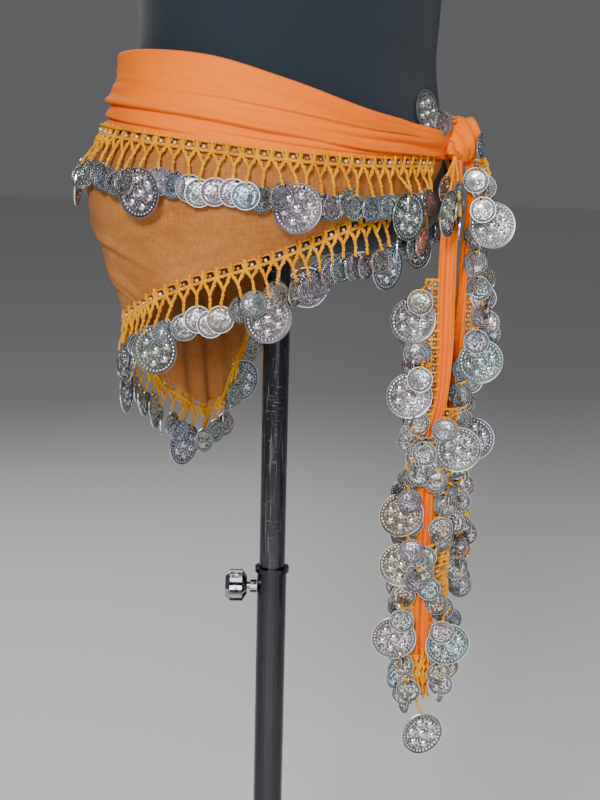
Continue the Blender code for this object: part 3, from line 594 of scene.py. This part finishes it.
SHORT_TAIL_ROWS = (
    (0.9340, 0.1545, -0.0030, 0.0034, 0.0010),
    (0.9218, 0.1560, -0.0005, 0.0040, 0.0015),
    (0.9050, 0.1600, 0.0020, 0.0042, 0.0018),
    (0.8590, 0.1570, 0.0020, 0.0042, 0.0020),
    (0.8090, 0.1545, 0.0020, 0.0050, 0.0022),
    (0.7660, 0.1520, 0.0020, 0.0060, 0.0024),
    (0.7230, 0.1490, 0.0020, 0.0068, 0.0026),
    (0.6710, 0.1460, 0.0020, 0.0075, 0.0035),
    (0.6360, 0.1485, 0.0020, 0.0070, 0.0030),
    (0.6000, 0.1525, 0.0020, 0.0065, 0.0025),
    (0.5650, 0.1550, 0.0020, 0.0025, 0.0010),
)
TAIL_X, TAIL_Y, TAIL_HALF, TAIL_FOLD = 1, 2, 3, 4
TAIL_PLEATS = (0.0, 1.0, -0.6, 0.8, -0.2)
TAIL_COLUMNS, TAIL_RINGS = 28, 170
TWIST, TWIST_WAVES = 0.5, 19.8  # of the fold's depth; radians from top to foot
DRIFT, DRIFT_WAVES = 0.35, 9.0


def pleat_profile(share):
    """Depth of the pleats at a share of the strip's breadth, rounded between its folds."""
    at = share * (len(TAIL_PLEATS) - 1)
    k = min(int(at), len(TAIL_PLEATS) - 2)
    ease = 0.5 - 0.5 * math.cos(math.pi * (at - k))
    return TAIL_PLEATS[k] + (TAIL_PLEATS[k + 1] - TAIL_PLEATS[k]) * ease


def tail_piece(name, rows, node_name):
    top, foot = rows[0][0], rows[-1][0]

    def place(share, down):
        height = top + (foot - top) * down
        x, y, half, fold = (read_table(rows, column, height)
                            for column in (TAIL_X, TAIL_Y, TAIL_HALF, TAIL_FOLD))
        across = 2 * share - 1
        twist = TWIST * math.sin(down * TWIST_WAVES) * across
        drift = DRIFT * math.sin(down * DRIFT_WAVES + 2.0 * share) * math.sin(share * math.pi)
        depth = fold * (pleat_profile(share) + twist + drift)
        return Vector((x + half * across, y - depth - CLOTH_THICKNESS / 2, height))

    piece = cloth_piece(name, grid_surface(TAIL_COLUMNS, TAIL_RINGS, place), folded_chiffon)
    dress(piece, "chiffon", node_name)


tail_piece("long_tail", LONG_TAIL_ROWS, "tail_long")
tail_piece("short_tail", SHORT_TAIL_ROWS, "tail_short")


# ---- crochet: golden thread worked along every edge ----
# Each edge has a ladder of stitches with a bead between its rungs.  From the rungs two twisted
# arms meet in a Y, and one twisted stem hangs from it to a coin.
#  bearings worked with crochet, and which solid strands carry a large coin
HEM_SPANS = {"upper": (19, 345), "lower": (18, 342)}
HEM_LARGE = {"upper": (1, 6, 11, 16, 21, 26, 31, 36), "lower": (2, 7, 11, 16, 21, 26, 31, 36)}
HEM_STEPS = 600
SOLID_PITCH = 0.0216  # of the solids' strands; the real ones are twice as close
STITCH_UP, RAIL_DEPTH, RAIL_PROUD = 0.0026, 0.0050, 0.0009
SIDE_STITCH = 0.0021  # two short stitches stand this far beside each rung
JOINT_DEPTH, COIN_DEPTH = 0.0145, 0.0350
SMALL_COIN, LARGE_COIN = 0.0106, 0.0192
HOLE_SHARE = 0.83  # of the coin's radius, from its middle to its hole
LARGE_PROUD, OVER_LARGE = 0.0032, 0.0064  # a small coin beside a large one hangs over it
COIN_REST = 0.0018  # a tilted coin's middle stands this far off the cloth
LAPPED = (0.0, 0.0016, 0.0007)  # so that neighbours lap over each other
CAUGHT_YAW = 38.0  # some are caught half turned
UPPER_LIFT = 0.0012
PLY = 0.00072
CORD_BEVEL = 0.001
PLY_APART = 1.2  # of its radius, from the cord's line to each ply
KNOBS = 0.30  # how much each ply swells and thins along its length
BOW, PROUD = 0.0008, 0.0010  # how far a short cord bows out, and stands off the cloth
#  kinds of cord: straight steps, full turns
PRICK, TACK, LINK, LOOP, TUFT = (2, 0.5), (3, 0.5), (4, 1.5), (5, 1.5), (5, 2.0)
STITCH, STEM, RAIL, ARM = (6, 2.0), (7, 2.0), (7, 2.5), (12, 3.5)
#  chance of a hem coin: higher or lower, sideways, off the cloth; yaw, roll and pitch in degrees
DROPS, SIDEWAYS, LIFTED = (-0.0034, 0.0040), (-0.0030, 0.0030), (0.0, 0.0008)
LARGE_YAWS, SMALL_YAWS, ROLLS, PITCHES = (-4, 6), (-6, 17), (-20, 20), (-3, 2)
THREAD = (0.44, 0.125, 0.001)
THREAD_LIGHT = (0.95, 0.45, 0.004)
chance = random.Random(7)

thread = Finish("golden_crochet_thread", THREAD, 0.55, more={"Specular IOR Level": 0.2})
fibres = thread.noise(1600.0)
patchy = thread.maths("MULTIPLY", thread.noise(60.0), 0.4)
share = thread.ramp(thread.maths("MULTIPLY_ADD", fibres, 0.6, patchy), (0.36, 0.0), (0.62, 1.0))
thread.feed("Base Color", thread.blend(share, THREAD, THREAD_LIGHT))
thread.emboss(fibres, 0.6, 0.0006)


def vary(limits):
    return chance.uniform(*limits)


def new_cords(name):
    curve = bpy.data.curves.new(name, "CURVE")
    curve.dimensions = "3D"
    curve.bevel_depth = CORD_BEVEL
    curve.bevel_resolution = 1
    curve.use_fill_caps = True
    return curve


def lay_twist(curve, start, end, belly, facing, steps, turns, ply=PLY):
    """Two plies twisted round a bowed line, of so many straight steps and full turns."""
    side = (end - start).normalized().cross(facing).normalized()
    for strand in range(2):
        spline = curve.splines.new("POLY")
        spline.points.add(steps)
        spline.use_smooth = True
        for k, knob in enumerate(spline.points):
            turn = math.pi * (strand + 2 * turns * k / steps)
            line = start.lerp(end, k / steps) + belly * (4 * k / steps * (1 - k / steps))
            round_it = side * math.cos(turn) + facing * math.sin(turn)
            knob.co = (*(line + round_it * ply * PLY_APART), 1.0)
            knob.radius = ply / CORD_BEVEL * (1 + KNOBS * (-1) ** (k + strand))


def cords_to_piece(curve, name, finish):
    """The laid cords as one mesh."""
    holder = bpy.data.objects.new(name + "_line", curve)
    collection.objects.link(holder)
    bpy.context.view_layer.update()
    mesh = bpy.data.meshes.new_from_object(holder.evaluated_get(
        bpy.context.evaluated_depsgraph_get()))
    bpy.data.objects.remove(holder, do_unlink=True)
    mesh.name = name
    mesh.shade_smooth()
    return new_piece(name, mesh, finish)


def hem_stations(place, hem_column, start, end):
    """Bearings of the strands, and of the rungs between them, at even distances along a hem."""
    trail = [start + (end - start) * k / HEM_STEPS for k in range(HEM_STEPS + 1)]
    points = [place(b, read_table(SCARF_ROWS, hem_column, b)) for b in trail]
    run = [0.0]
    for low, high in zip(points, points[1:]):
        run.append(run[-1] + (high - low).length)
    count = 4 * round(run[-1] / SOLID_PITCH)

    def bearing_at(distance):
        k = 0
        while k < HEM_STEPS - 1 and run[k + 1] < distance:
            k += 1
        return trail[k] + (trail[k + 1] - trail[k]) * (distance - run[k]) / (run[k + 1] - run[k])

    return [bearing_at(run[-1] * n / count) for n in range(count + 1)]


def work_hem(tier, place, hem_column, lift):
    """Cords of one tier, with its beads' and coins' places."""
    cords = new_cords("crochet_" + tier)
    beads, coins, rungs = [], [], []
    stations = hem_stations(place, hem_column, *HEM_SPANS[tier])

    def station(index):
        """The hem's point, the ways out and across, cloth(fall) under it, and how far it rises."""
        bearing = stations[index]
        height = read_table(SCARF_ROWS, hem_column, bearing)
        out = outward(bearing, height)

        def cloth(fall, proud=0.0):
            return place(bearing, height - fall) + out * (SOLID_WALL + proud)

        def rise(fall, proud=0.0):
            return max(0.0, (cloth(fall, proud) - cloth(0.0)).dot(out))

        return cloth(0.0), out, Vector((out.y, -out.x, 0.0)), cloth, rise

    for index in range(0, len(stations), 2):
        hem, out, across, cloth, rise = station(index)
        rail = hem + out * rise(RAIL_DEPTH, RAIL_PROUD) - UP * RAIL_DEPTH
        rungs.append((rail, out))
        lay_twist(cords, cloth(-STITCH_UP, 0.0005), rail, out * BOW, out, *STITCH, PLY * 1.1)
        for lean in (-SIDE_STITCH, SIDE_STITCH):
            lay_twist(cords, hem + across * lean + out * 0.0003, rail + out * 0.0006,
                      across * lean * 0.3, out, *TACK, PLY * 0.7)
    top_rail = UP * (RAIL_DEPTH + PROUD)
    for (low, out), (high, _) in zip(rungs, rungs[1:]):
        lay_twist(cords, low, high, -UP * 0.0005, out, *ARM, PLY * 1.15)
        lay_twist(cords, low + top_rail, high + top_rail, out * 0.0003, out, *STEM, PLY * 0.6)
        beads.append((low.lerp(high, 0.5) + out * PROUD + UP * 0.0022, out))
    for number, index in enumerate(range(1, len(stations), 2)):
        hem, out, across, _, rise = station(index)
        # every second real strand stands where a solid strand does
        large = number % 2 == 1 and number // 2 in HEM_LARGE[tier]
        radius = LARGE_COIN if large else SMALL_COIN
        drop = vary(DROPS)
        joint_depth = JOINT_DEPTH + drop * 0.5
        joint = hem + out * (rise(joint_depth) + lift * 0.5 + PROUD) - UP * joint_depth
        for rail, _ in rungs[number:number + 2]:
            middle = rail.lerp(joint, 0.5) + out * 0.0009
            lay_twist(cords, rail, joint, out * BOW, out, *ARM)
            lay_twist(cords, middle, middle + (rail - joint).cross(out).normalized() * 0.0012,
                      out * 0.0005, out, *PRICK, PLY * 0.9)
        depth = COIN_DEPTH - SMALL_COIN + radius + drop
        low, high = rise(depth + radius), rise(depth - radius)
        proud = (max(rise(depth), (low + high) / 2) + lift + (LARGE_PROUD if large else 0.0)
                 + COIN_REST + LAPPED[number % 3] + vary(LIFTED))
        if number % 2 == 0 and number // 2 - 1 in HEM_LARGE[tier]:
            proud += OVER_LARGE
        tilt = math.atan2(high - low, 2 * radius)
        middle = hem + out * proud - UP * depth + across * vary(SIDEWAYS)
        yaw = vary(LARGE_YAWS if large else SMALL_YAWS)
        if not large and number % 9 == 4:
            yaw = CAUGHT_YAW
        coins.append((middle, across, out, yaw, vary(ROLLS),
                      math.degrees(tilt) + vary(PITCHES), large))
        hole = (middle + (UP * math.cos(tilt) + out * math.sin(tilt)) * radius * HOLE_SHARE
                + out * 0.0012)
        lay_twist(cords, joint, hole, out * 0.0006, out, *STEM)
    return cords, beads, coins


#  side, top, foot, strands with a large coin
TAIL_WORK = {
    "long_left": (-1, 0.828, 0.470, (0, 3, 8, 10, 13)),
    "long_right": (1, 0.720, 0.482, (0, 8)),
    "short_left": (-1, 0.790, 0.575, (2, 8)),
    "short_right": (1, 0.9252, 0.570, (1, 6, 9)),
}
#  how far past the edge the coins hang, by height; below zero they have swung over the strip
TAIL_REACH = {
    "long_left": ((0.470, 0.0070), (0.560, 0.0110), (0.640, 0.0070), (0.665, 0.0100),
                  (0.690, 0.0010), (0.715, 0.0120), (0.740, 0.0170), (0.828, 0.0170)),
    "long_right": ((0.482, 0.0075), (0.545, 0.0095), (0.575, 0.0020), (0.600, -0.0170),
                   (0.622, 0.0020), (0.660, 0.0100), (0.694, -0.0110), (0.720, 0.0030)),
    "short_left": ((0.575, 0.0120), (0.790, 0.0120)),
    "short_right": ((0.570, 0.0010), (0.620, 0.0040), (0.700, 0.0020), (0.775, 0.0050),
                    (0.800, 0.0150), (0.825, 0.0140), (0.850, 0.0065), (0.903, 0.0050)),
}
TAIL_RAIL, TAIL_OUTER = 0.0040, 0.0100  # two ladders side by side, past the cloth's edge
TAIL_DROP = 0.0120
TAIL_COLUMNS_OUT = (-0.0030, 0.0005, 0.0045)  # the three coins of a solid strand hang apart
TAIL_COLUMNS_PROUD = (0.0022, 0.0, -0.0010)
TURNED_YAW = 66.0  # some are turned nearly edge on
TIP_COIN = Vector((0.1335, -0.0265, 0.4330))
LACE_FALL = 0.512  # below this height the edging falls over the cloth
#  chance of the ladders: off the cloth, sideways, up or down; of the loops between them
INNER_PROUD, OUTER_PROUD = (0.0002, 0.0016), (-0.0006, 0.0012)
OUTER_ASIDE, OUTER_UP = (-0.0012, 0.0010), (-0.0012, 0.0012)
LOOP_ASIDE, LOOP_UP = (-0.0035, 0.0035), (-0.004, 0.004)
TUFT_ASIDE, TUFT_DOWN = (-0.003, 0.003), (0.006, 0.011)
#  chance of a tail's coins: sideways, lower; yaw, roll and pitch in degrees
TAIL_ASIDE, TAIL_LOWER = (-0.0015, 0.0015), (-0.0020, 0.0025)
TAIL_LARGE_YAWS, TAIL_YAWS, TAIL_ROLLS, TAIL_PITCHES = (-10, 10), (-26, 26), (-16, 16), (-6, 9)
TO_FRONT, TO_RIGHT = Vector((0, -1, 0)), Vector((1, 0, 0))


def work_tail(tier, rows):
    """Cords down one edge of a tail, with its beads' and coins' places."""
    side, top, foot, large_coins = TAIL_WORK[tier]
    cords = new_cords("crochet_" + tier)
    beads, coins = [], []
    out, across = TO_FRONT, TO_RIGHT * side

    def edge(height):
        x, y, half = (read_table(rows, column, height) for column in (TAIL_X, TAIL_Y, TAIL_HALF))
        return Vector((x, y, height)) + across * half

    count = 3 * round((top - foot) / SOLID_PITCH)
    heights = [top - (top - foot) * k / count for k in range(count + 1)]
    inner = [edge(height) + across * TAIL_RAIL + out * vary(INNER_PROUD)
             for height in heights]
    outer = [rail + across * (TAIL_OUTER - TAIL_RAIL + vary(OUTER_ASIDE))
             + UP * vary(OUTER_UP) + out * vary(OUTER_PROUD)
             for rail in inner]
    for height, rail, end in zip(heights, inner, outer):
        start = edge(height) - across * 0.0024 + out * PROUD
        lay_twist(cords, start, rail, out * BOW, out, *STITCH)
        lay_twist(cords, rail, end, out * BOW, out, *LINK)
    for k in range(count):
        for rail in (inner, outer):
            lay_twist(cords, rail[k], rail[k + 1], across * 0.0006, out, *RAIL, PLY * 1.1)
        for _ in range(3):                   # loops worked between the two
            start = inner[k].lerp(outer[k + 1], chance.random())
            end = start + Vector((vary(LOOP_ASIDE), 0.0, vary(LOOP_UP)))
            lay_twist(cords, start, end, out * 0.0022, out, *LOOP)
        beads.append((inner[k].lerp(inner[k + 1], 0.5) - across * 0.0018 + out * 0.0008, out))
        if k % 2:
            beads.append((inner[k].lerp(outer[k], 0.5) + out * 0.0024, out))
        if heights[k] < LACE_FALL:
            for turn in range(3):
                start = edge(heights[k]) - across * 0.0028 * (turn + 1) + out * 0.0046
                lay_twist(cords, start, start + across * vary(TUFT_ASIDE)
                          - UP * vary(TUFT_DOWN), out * 0.0024, out, *TUFT)
        large = k % 3 == 1 and k // 3 in large_coins
        radius = LARGE_COIN if large else SMALL_COIN
        reach = read_table(TAIL_REACH[tier], 1, heights[k])
        far = max(reach, 0.0085) + 0.0035 if large else reach + TAIL_COLUMNS_OUT[k % 3]
        proud = (0.0034 + (0.012 - min(reach, 0.012)) * 0.3
                 + (0.0052 if large else TAIL_COLUMNS_PROUD[k % 3]))
        middle = (edge(heights[k] - 0.0036) + across * (far + vary(TAIL_ASIDE))
                  + out * proud - UP * (TAIL_DROP - SMALL_COIN + radius
                                        + vary(TAIL_LOWER)))
        yaw = vary(TAIL_LARGE_YAWS if large else TAIL_YAWS)
        if k % 6 == 2 and reach > 0.0:
            yaw = TURNED_YAW * side
        if k % 3 == 0 and k // 3 in large_coins:
            middle, yaw = middle + out * OVER_LARGE * 1.5, yaw * 0.3
        coins.append((middle, TO_RIGHT, out, yaw, vary(TAIL_ROLLS),
                      vary(TAIL_PITCHES), large))
        hole = middle + UP * radius * HOLE_SHARE + out * PROUD
        lay_twist(cords, outer[k].lerp(outer[k + 1], 0.5), hole, out * 0.0014, out, *STITCH)
    if tier == "long_left":
        lay_twist(cords, inner[-1], TIP_COIN + UP * LARGE_COIN * HOLE_SHARE, out * PROUD, out,
                  8, 3.0)
        coins.append((TIP_COIN, TO_RIGHT, out, 18.0, 14.0, 4.0, True))
    return cords, beads, coins


#  coins over the knot and at its side: place, facing, radius, roll
BEHIND_BEARING, BEHIND_HEIGHT, BEHIND_CLEAR = 16.0, 0.9620, 0.0036
BEHIND = form_point(-math.radians(BEHIND_BEARING), BEHIND_HEIGHT, BEHIND_CLEAR)
LEAN = (outward(BEHIND_BEARING, BEHIND_HEIGHT) + UP * 0.22).normalized()
KNOT_COINS = (
    (BEHIND + LEAN * 0.0006, LEAN, LARGE_COIN, -20.0),
    (BEHIND + Vector((0.0125, -0.0010, -0.0070)), Vector((0.7, -0.7, 0.0)), SMALL_COIN, 25.0),
    (KNOT_CENTRE + Vector((0.0130, -0.0090, -0.0030)), Vector((0.92, -0.39, 0.0)), SMALL_COIN, 0.0),
)
#  coins hung below it, nearly edge on: across, forward, fall, yaw, radius
HUNG_COINS = (
    (0.0020, 0.0140, 0.0290, 62.0, SMALL_COIN),
    (0.0036, 0.0140, 0.0430, 71.0, SMALL_COIN),
    (0.0052, 0.0140, 0.0560, 80.0, SMALL_COIN),
    (-0.0085, 0.0180, 0.0250, 58.0, SMALL_COIN),
    (-0.0060, 0.0310, 0.0440, 64.0, LARGE_COIN),
)


def work_knot():
    """The end of the edging over the knot, with coins thrown up behind it and hung below it."""
    cords = new_cords("crochet_knot")
    coins, beads = [], []
    root = KNOT_CENTRE + Vector((-0.0010, 0.0030, KNOT_TALL * 0.86))
    for middle, facing, radius, roll in KNOT_COINS:
        facing = facing.normalized()
        coins.append((middle, UP.cross(facing).normalized(), facing, 0.0, roll, 0.0,
                      radius == LARGE_COIN))
        near = middle + (root - middle).normalized() * radius * HOLE_SHARE
        lay_twist(cords, root, near, facing * 0.0004, facing, *STITCH, PLY * 0.8)
    below = KNOT_CENTRE + Vector((-0.0080, -0.0130, -0.0120))
    for shift, forward, fall, yaw, radius in HUNG_COINS:
        middle = below + Vector((shift, -forward, -fall))
        coins.append((middle, TO_RIGHT, TO_FRONT, yaw, chance.uniform(-10, 10), 3.0,
                      radius == LARGE_COIN))
        lay_twist(cords, below, middle + UP * radius * HOLE_SHARE, TO_FRONT * 0.0020, TO_FRONT,
                  10, 4.0)
    for k in range(3):
        start = root + Vector((0.0020 - 0.0022 * k, 0.0030, -0.0024))
        lay_twist(cords, start, start - TO_RIGHT * 0.0022, UP * 0.0004, UP, 4, 1.0)
        beads.append((start + Vector((-0.0011, 0.0, 0.0004)), UP))
    return cords, beads, coins


EDGINGS = {
    "upper": work_hem("upper", upper_place_plain, UPPER_HEM, UPPER_LIFT),
    "lower": work_hem("lower", under_place, UNDER_HEM, 0.0),
    "long_left": work_tail("long_left", LONG_TAIL_ROWS),
    "long_right": work_tail("long_right", LONG_TAIL_ROWS),
    "short_left": work_tail("short_left", SHORT_TAIL_ROWS),
    "short_right": work_tail("short_right", SHORT_TAIL_ROWS),
    "knot": work_knot(),
}
for tier, (cords, _, _) in EDGINGS.items():
    dress(cords_to_piece(cords, "crochet_" + tier, thread), "crochet", "fringe_" + tier)


# ---- beads: one between the rungs of each ladder ----
# Small glass seed beads with a purple-silver iridescent coat, threaded as the crochet is worked,
# so that one sits in each opening of the ladders.
BEAD_RADIUS = 0.00150
BEAD_DARK = (0.24, 0.10, 0.10)
BEAD_PALE = (0.86, 0.74, 0.74)


def placed_copy(template, matrix, tint):
    mesh = template.copy()
    mesh.transform(matrix)
    shade = mesh.attributes.new("tint", "FLOAT", "FACE")
    shade.data.foreach_set("value", [tint] * len(mesh.polygons))
    return mesh


def joined(name, meshes, finish):
    """One piece made of many placed meshes."""
    items = [bpy.data.objects.new(name, mesh) for mesh in meshes]
    for item in items:
        collection.objects.link(item)
    with bpy.context.temp_override(active_object=items[0], object=items[0],
                                   selected_objects=items, selected_editable_objects=items):
        bpy.ops.object.join()
    piece = items[0]
    piece.name = piece.data.name = name
    piece.data.materials.clear()
    piece.data.materials.append(finish.material)
    return piece


glass = Finish("iridescent_seed_bead", BEAD_DARK, 0.16, 0.45, more={"Coat Weight": 0.6})
shade = glass.add("Attribute", attribute_name="tint").outputs["Fac"]
glass.feed("Base Color", glass.blend(shade, BEAD_DARK, BEAD_PALE))

bm = bmesh.new()
bmesh.ops.create_uvsphere(bm, u_segments=8, v_segments=6, radius=BEAD_RADIUS)
bead = smooth_mesh("bead", bm)
for tier, (_, beads, _) in EDGINGS.items():
    strung = [placed_copy(bead, Matrix.Translation(middle), chance.random() ** 1.5)
              for middle, _ in beads]
    dress(joined("beads_" + tier, strung, glass), "beads")


# ---- coins: stamped metal discs, one on each strand ----
# Thin antiqued coins of two sizes.  The small one has a raised rim, a ring of dots and a plain
# scrollwork; the large one has a ringed boss in the middle, six bosses round it and a dotted rim.
COIN_THICKNESS = 0.0009
COIN_BACK = COIN_THICKNESS / 2
SMALL_SIDES, LARGE_SIDES = 22, 36
#  steps of the face from the rim inwards: breadth as a share of the radius, rise
RIM_STEPS = ((0.035, 0.0), (0.030, -0.00028))
MIDDLE_STEPS = ((0.50, 0.0), (0.06, 0.00018))
BOSS_RING, BOSS_RADIUS, CENTRE_BOSS, BOSS_FLAT = 0.53, 0.0031, 0.0036, 0.55
OFF_PATTERN = (3.0, 3.0)
#  the stamped pattern, in shares of the radius
DOTS_AT, DOTS_BREADTH, SMALL_DOTS, LARGE_DOTS = 0.84, 0.065, 26.0, 34.0
FIELD_EDGE, RIM_EDGE = 0.76, 0.96
BOSS_RING_AT, BOSS_RING_BREADTH = 0.25, 0.035
SMALL_HOLE, LARGE_HOLE = 0.08, 0.05
TARNISH = (0.016, 0.013, 0.018)
HOLE_DARK = (0.004, 0.004, 0.004)
SILVER_TINTS = ((0.0, (0.66, 0.80, 0.94)), (0.22, (0.80, 0.70, 0.80)), (0.45, (0.94, 0.94, 0.92)),
                (0.68, (0.68, 0.82, 0.82)), (0.85, (0.84, 0.74, 0.60)), (1.0, (0.82, 0.84, 0.94)))


def coin_blank(name, radius, sides, bosses):
    """Disc with a raised rim and a stepped middle, or with domed bosses."""
    bm = bmesh.new()
    bmesh.ops.create_circle(bm, cap_ends=True, segments=sides, radius=radius)
    grown = bmesh.ops.extrude_face_region(bm, geom=bm.faces[:])["geom"]
    bmesh.ops.translate(bm, vec=(0, 0, COIN_THICKNESS),
                        verts=[v for v in grown if isinstance(v, bmesh.types.BMVert)])
    front = next(f for f in grown if isinstance(f, bmesh.types.BMFace))
    for share, rise in RIM_STEPS + (() if bosses else MIDDLE_STEPS):
        bmesh.ops.inset_region(bm, faces=[front], thickness=share * radius, use_even_offset=True)
        bmesh.ops.translate(bm, vec=(0, 0, rise), verts=front.verts[:])
    bmesh.ops.translate(bm, vec=(0, 0, -COIN_BACK), verts=bm.verts)
    disc = set(bm.faces)
    if bosses:
        ring = BOSS_RING * radius
        spots = [(ring * math.cos(math.radians(60 * k + 30)),
                  ring * math.sin(math.radians(60 * k + 30)), BOSS_RADIUS) for k in range(6)]
        for x, y, size in [*spots, (0.0, 0.0, CENTRE_BOSS)]:
            dome = bmesh.ops.create_uvsphere(bm, u_segments=12, v_segments=7, radius=size)["verts"]
            bmesh.ops.scale(bm, vec=(1, 1, BOSS_FLAT), verts=dome)
            bmesh.ops.translate(bm, vec=(x, y, COIN_BACK - 0.0003), verts=dome)
    bmesh.ops.recalc_face_normals(bm, faces=bm.faces)
    face_map = bm.loops.layers.uv.new("face")
    for face in bm.faces:
        for loop in face.loops:              # the domes lie off the pattern, so they stay plain
            loop[face_map].uv = ((loop.vert.co.x / radius, loop.vert.co.y / radius)
                                 if face in disc else OFF_PATTERN)
    mesh = smooth_mesh(name, bm)
    mesh.set_sharp_from_angle(angle=math.radians(35))
    return mesh


def coin_finish(name, bossed):
    """Tarnished silver with a ring of dots, and scrollwork or a ringed boss inside it."""
    metal = Finish(name, (0.5, 0.5, 0.5), 0.3, 0.95)
    maths = metal.maths
    flat = metal.add("UVMap", uv_map="face").outputs["UV"]
    tint = metal.add("Attribute", attribute_name="tint").outputs["Fac"]
    split = metal.add("SeparateXYZ", {"Vector": flat})
    reach = metal.vectors("LENGTH", flat)["Value"]
    angle = maths("ARCTAN2", split.outputs["Y"], split.outputs["X"])

    def ring_at(place, breadth):
        off = maths("ABSOLUTE", maths("SUBTRACT", reach, place))
        return maths("SUBTRACT", 1.0, maths("DIVIDE", off, breadth), clamp=True)

    # a ring of dots inside the rim
    dots = maths("COSINE", maths("MULTIPLY", angle, LARGE_DOTS if bossed else SMALL_DOTS))
    dotted = maths("MULTIPLY", ring_at(DOTS_AT, DOTS_BREADTH),
                   maths("MULTIPLY_ADD", dots, 0.5, 0.5))
    if bossed:
        grain = metal.ramp(metal.noise(9.0, 1.0, on=flat), (0.46, 0.0), (0.54, 0.8))
        inside = maths("MAXIMUM", grain, ring_at(BOSS_RING_AT, BOSS_RING_BREADTH))
    else:                                    # curling scrolls, cut differently on each coin
        apart = metal.add("CombineXYZ", {"X": maths("MULTIPLY", tint, 31.0)}).outputs["Vector"]
        wander = metal.noise(1.9, 1.0, on=metal.vectors("ADD", flat, apart)["Vector"])
        turned = maths("MULTIPLY_ADD", tint, 40.0, maths("MULTIPLY", angle, 4.0))
        curl = maths("SINE", maths("MULTIPLY_ADD", wander, 16.0, turned))
        scroll = maths("SINE", maths("MULTIPLY_ADD", reach, 16.0, maths("MULTIPLY", curl, 2.3)))
        inside = metal.ramp(maths("MULTIPLY_ADD", scroll, 0.5, 0.5), (0.36, 0.0), (0.62, 1.0))
    relief = maths("ADD", maths("MULTIPLY", inside, maths("LESS_THAN", reach, FIELD_EDGE)), dotted)
    # the hole for the thread near the edge
    off_hole = metal.vectors("DISTANCE", flat, (0.0, HOLE_SHARE, 0.0))["Value"]
    hole = maths("LESS_THAN", off_hole, LARGE_HOLE if bossed else SMALL_HOLE)
    # silver on all that stands proud, tarnish between
    silver = metal.ramp(tint, *SILVER_TINTS)
    film = maths("MULTIPLY", metal.noise(130.0, 3.0), 0.42)
    worn_high = maths("MULTIPLY_ADD", relief, 0.90, film, clamp=True)
    rim = maths("GREATER_THAN", reach, RIM_EDGE)
    faced = metal.blend(rim, metal.blend(worn_high, TARNISH, silver), silver)
    metal.feed("Base Color", metal.blend(hole, faced, HOLE_DARK))
    polished = maths("MAXIMUM", worn_high, rim)
    metal.feed("Roughness", maths("MULTIPLY_ADD", polished, -0.24, 0.44))
    metal.emboss(relief, 1.0, 0.0008)
    return metal


def coin_matrix(middle, across, out, yaw, roll, pitch):
    """Place of a coin whose own Y is up and Z is its front."""
    up = out.cross(across).normalized()
    if up.z < 0:
        across, up = -across, -up
    place = Matrix.Translation(middle) @ Matrix((across, up, out)).transposed().to_4x4()
    for degrees, axis in ((yaw, "Y"), (pitch, "X"), (roll, "Z")):
        place = place @ Matrix.Rotation(math.radians(degrees), 4, axis)
    return place


COIN_KINDS = (("small", coin_blank("small_coin", SMALL_COIN, SMALL_SIDES, False),
               coin_finish("antique_silver_scrolled_coin", False), False),
              ("large", coin_blank("large_coin", LARGE_COIN, LARGE_SIDES, True),
               coin_finish("antique_silver_bossed_coin", True), True))
for tier, (_, _, coins) in EDGINGS.items():
    for size, blank, metal, is_large in COIN_KINDS:
        row = [placed_copy(blank, coin_matrix(*spot), chance.random())
               for *spot, large in coins if large == is_large]
        dress(joined(size + "_coins_" + tier, row, metal), "coin_metal")


# ---- floor and light ----
# A plain pale floor, a soft light high at the front left, weaker ones at the right and low in
# front, and a large one behind, under a pale surround.
FLOOR_RADIUS = 14.0
FLOOR_PALE = (0.86, 0.85, 0.84)
SURROUND = (0.80, 0.81, 0.83)
SURROUND_STRENGTH = 0.15
LIT_POINT = Vector((0, 0, 0.8))
#  name, place, watts, size
LIGHTS = (
    ("front_light", (-0.45, -2.1, 1.9), 64.0, 0.5),
    ("side_light", (1.6, -1.5, 2.2), 22.0, 0.8),
    ("low_light", (0.15, -1.9, 0.95), 8.0, 0.8),
    ("back_light", (-0.8, 2.0, 2.2), 26.0, 1.4),
)

bm = bmesh.new()
bmesh.ops.create_circle(bm, cap_ends=True, segments=96, radius=FLOOR_RADIUS)
new_piece("floor", smooth_mesh("floor", bm), Finish("pale_floor", FLOOR_PALE, 0.7))

for name, place, power, size in LIGHTS:
    lamp = bpy.data.objects.new(name, bpy.data.lights.new(name, "AREA"))
    collection.objects.link(lamp)
    lamp.location = place
    lamp.data.energy = power
    lamp.data.size = size
    lamp.rotation_euler = (LIT_POINT - Vector(place)).to_track_quat("-Z", "Y").to_euler()

world = bpy.data.worlds.new("surround")
bpy.context.scene.world = world
world.use_nodes = True
world.node_tree.nodes["Background"].inputs["Color"].default_value = (*SURROUND, 1.0)
world.node_tree.nodes["Background"].inputs["Strength"].default_value = SURROUND_STRENGTH
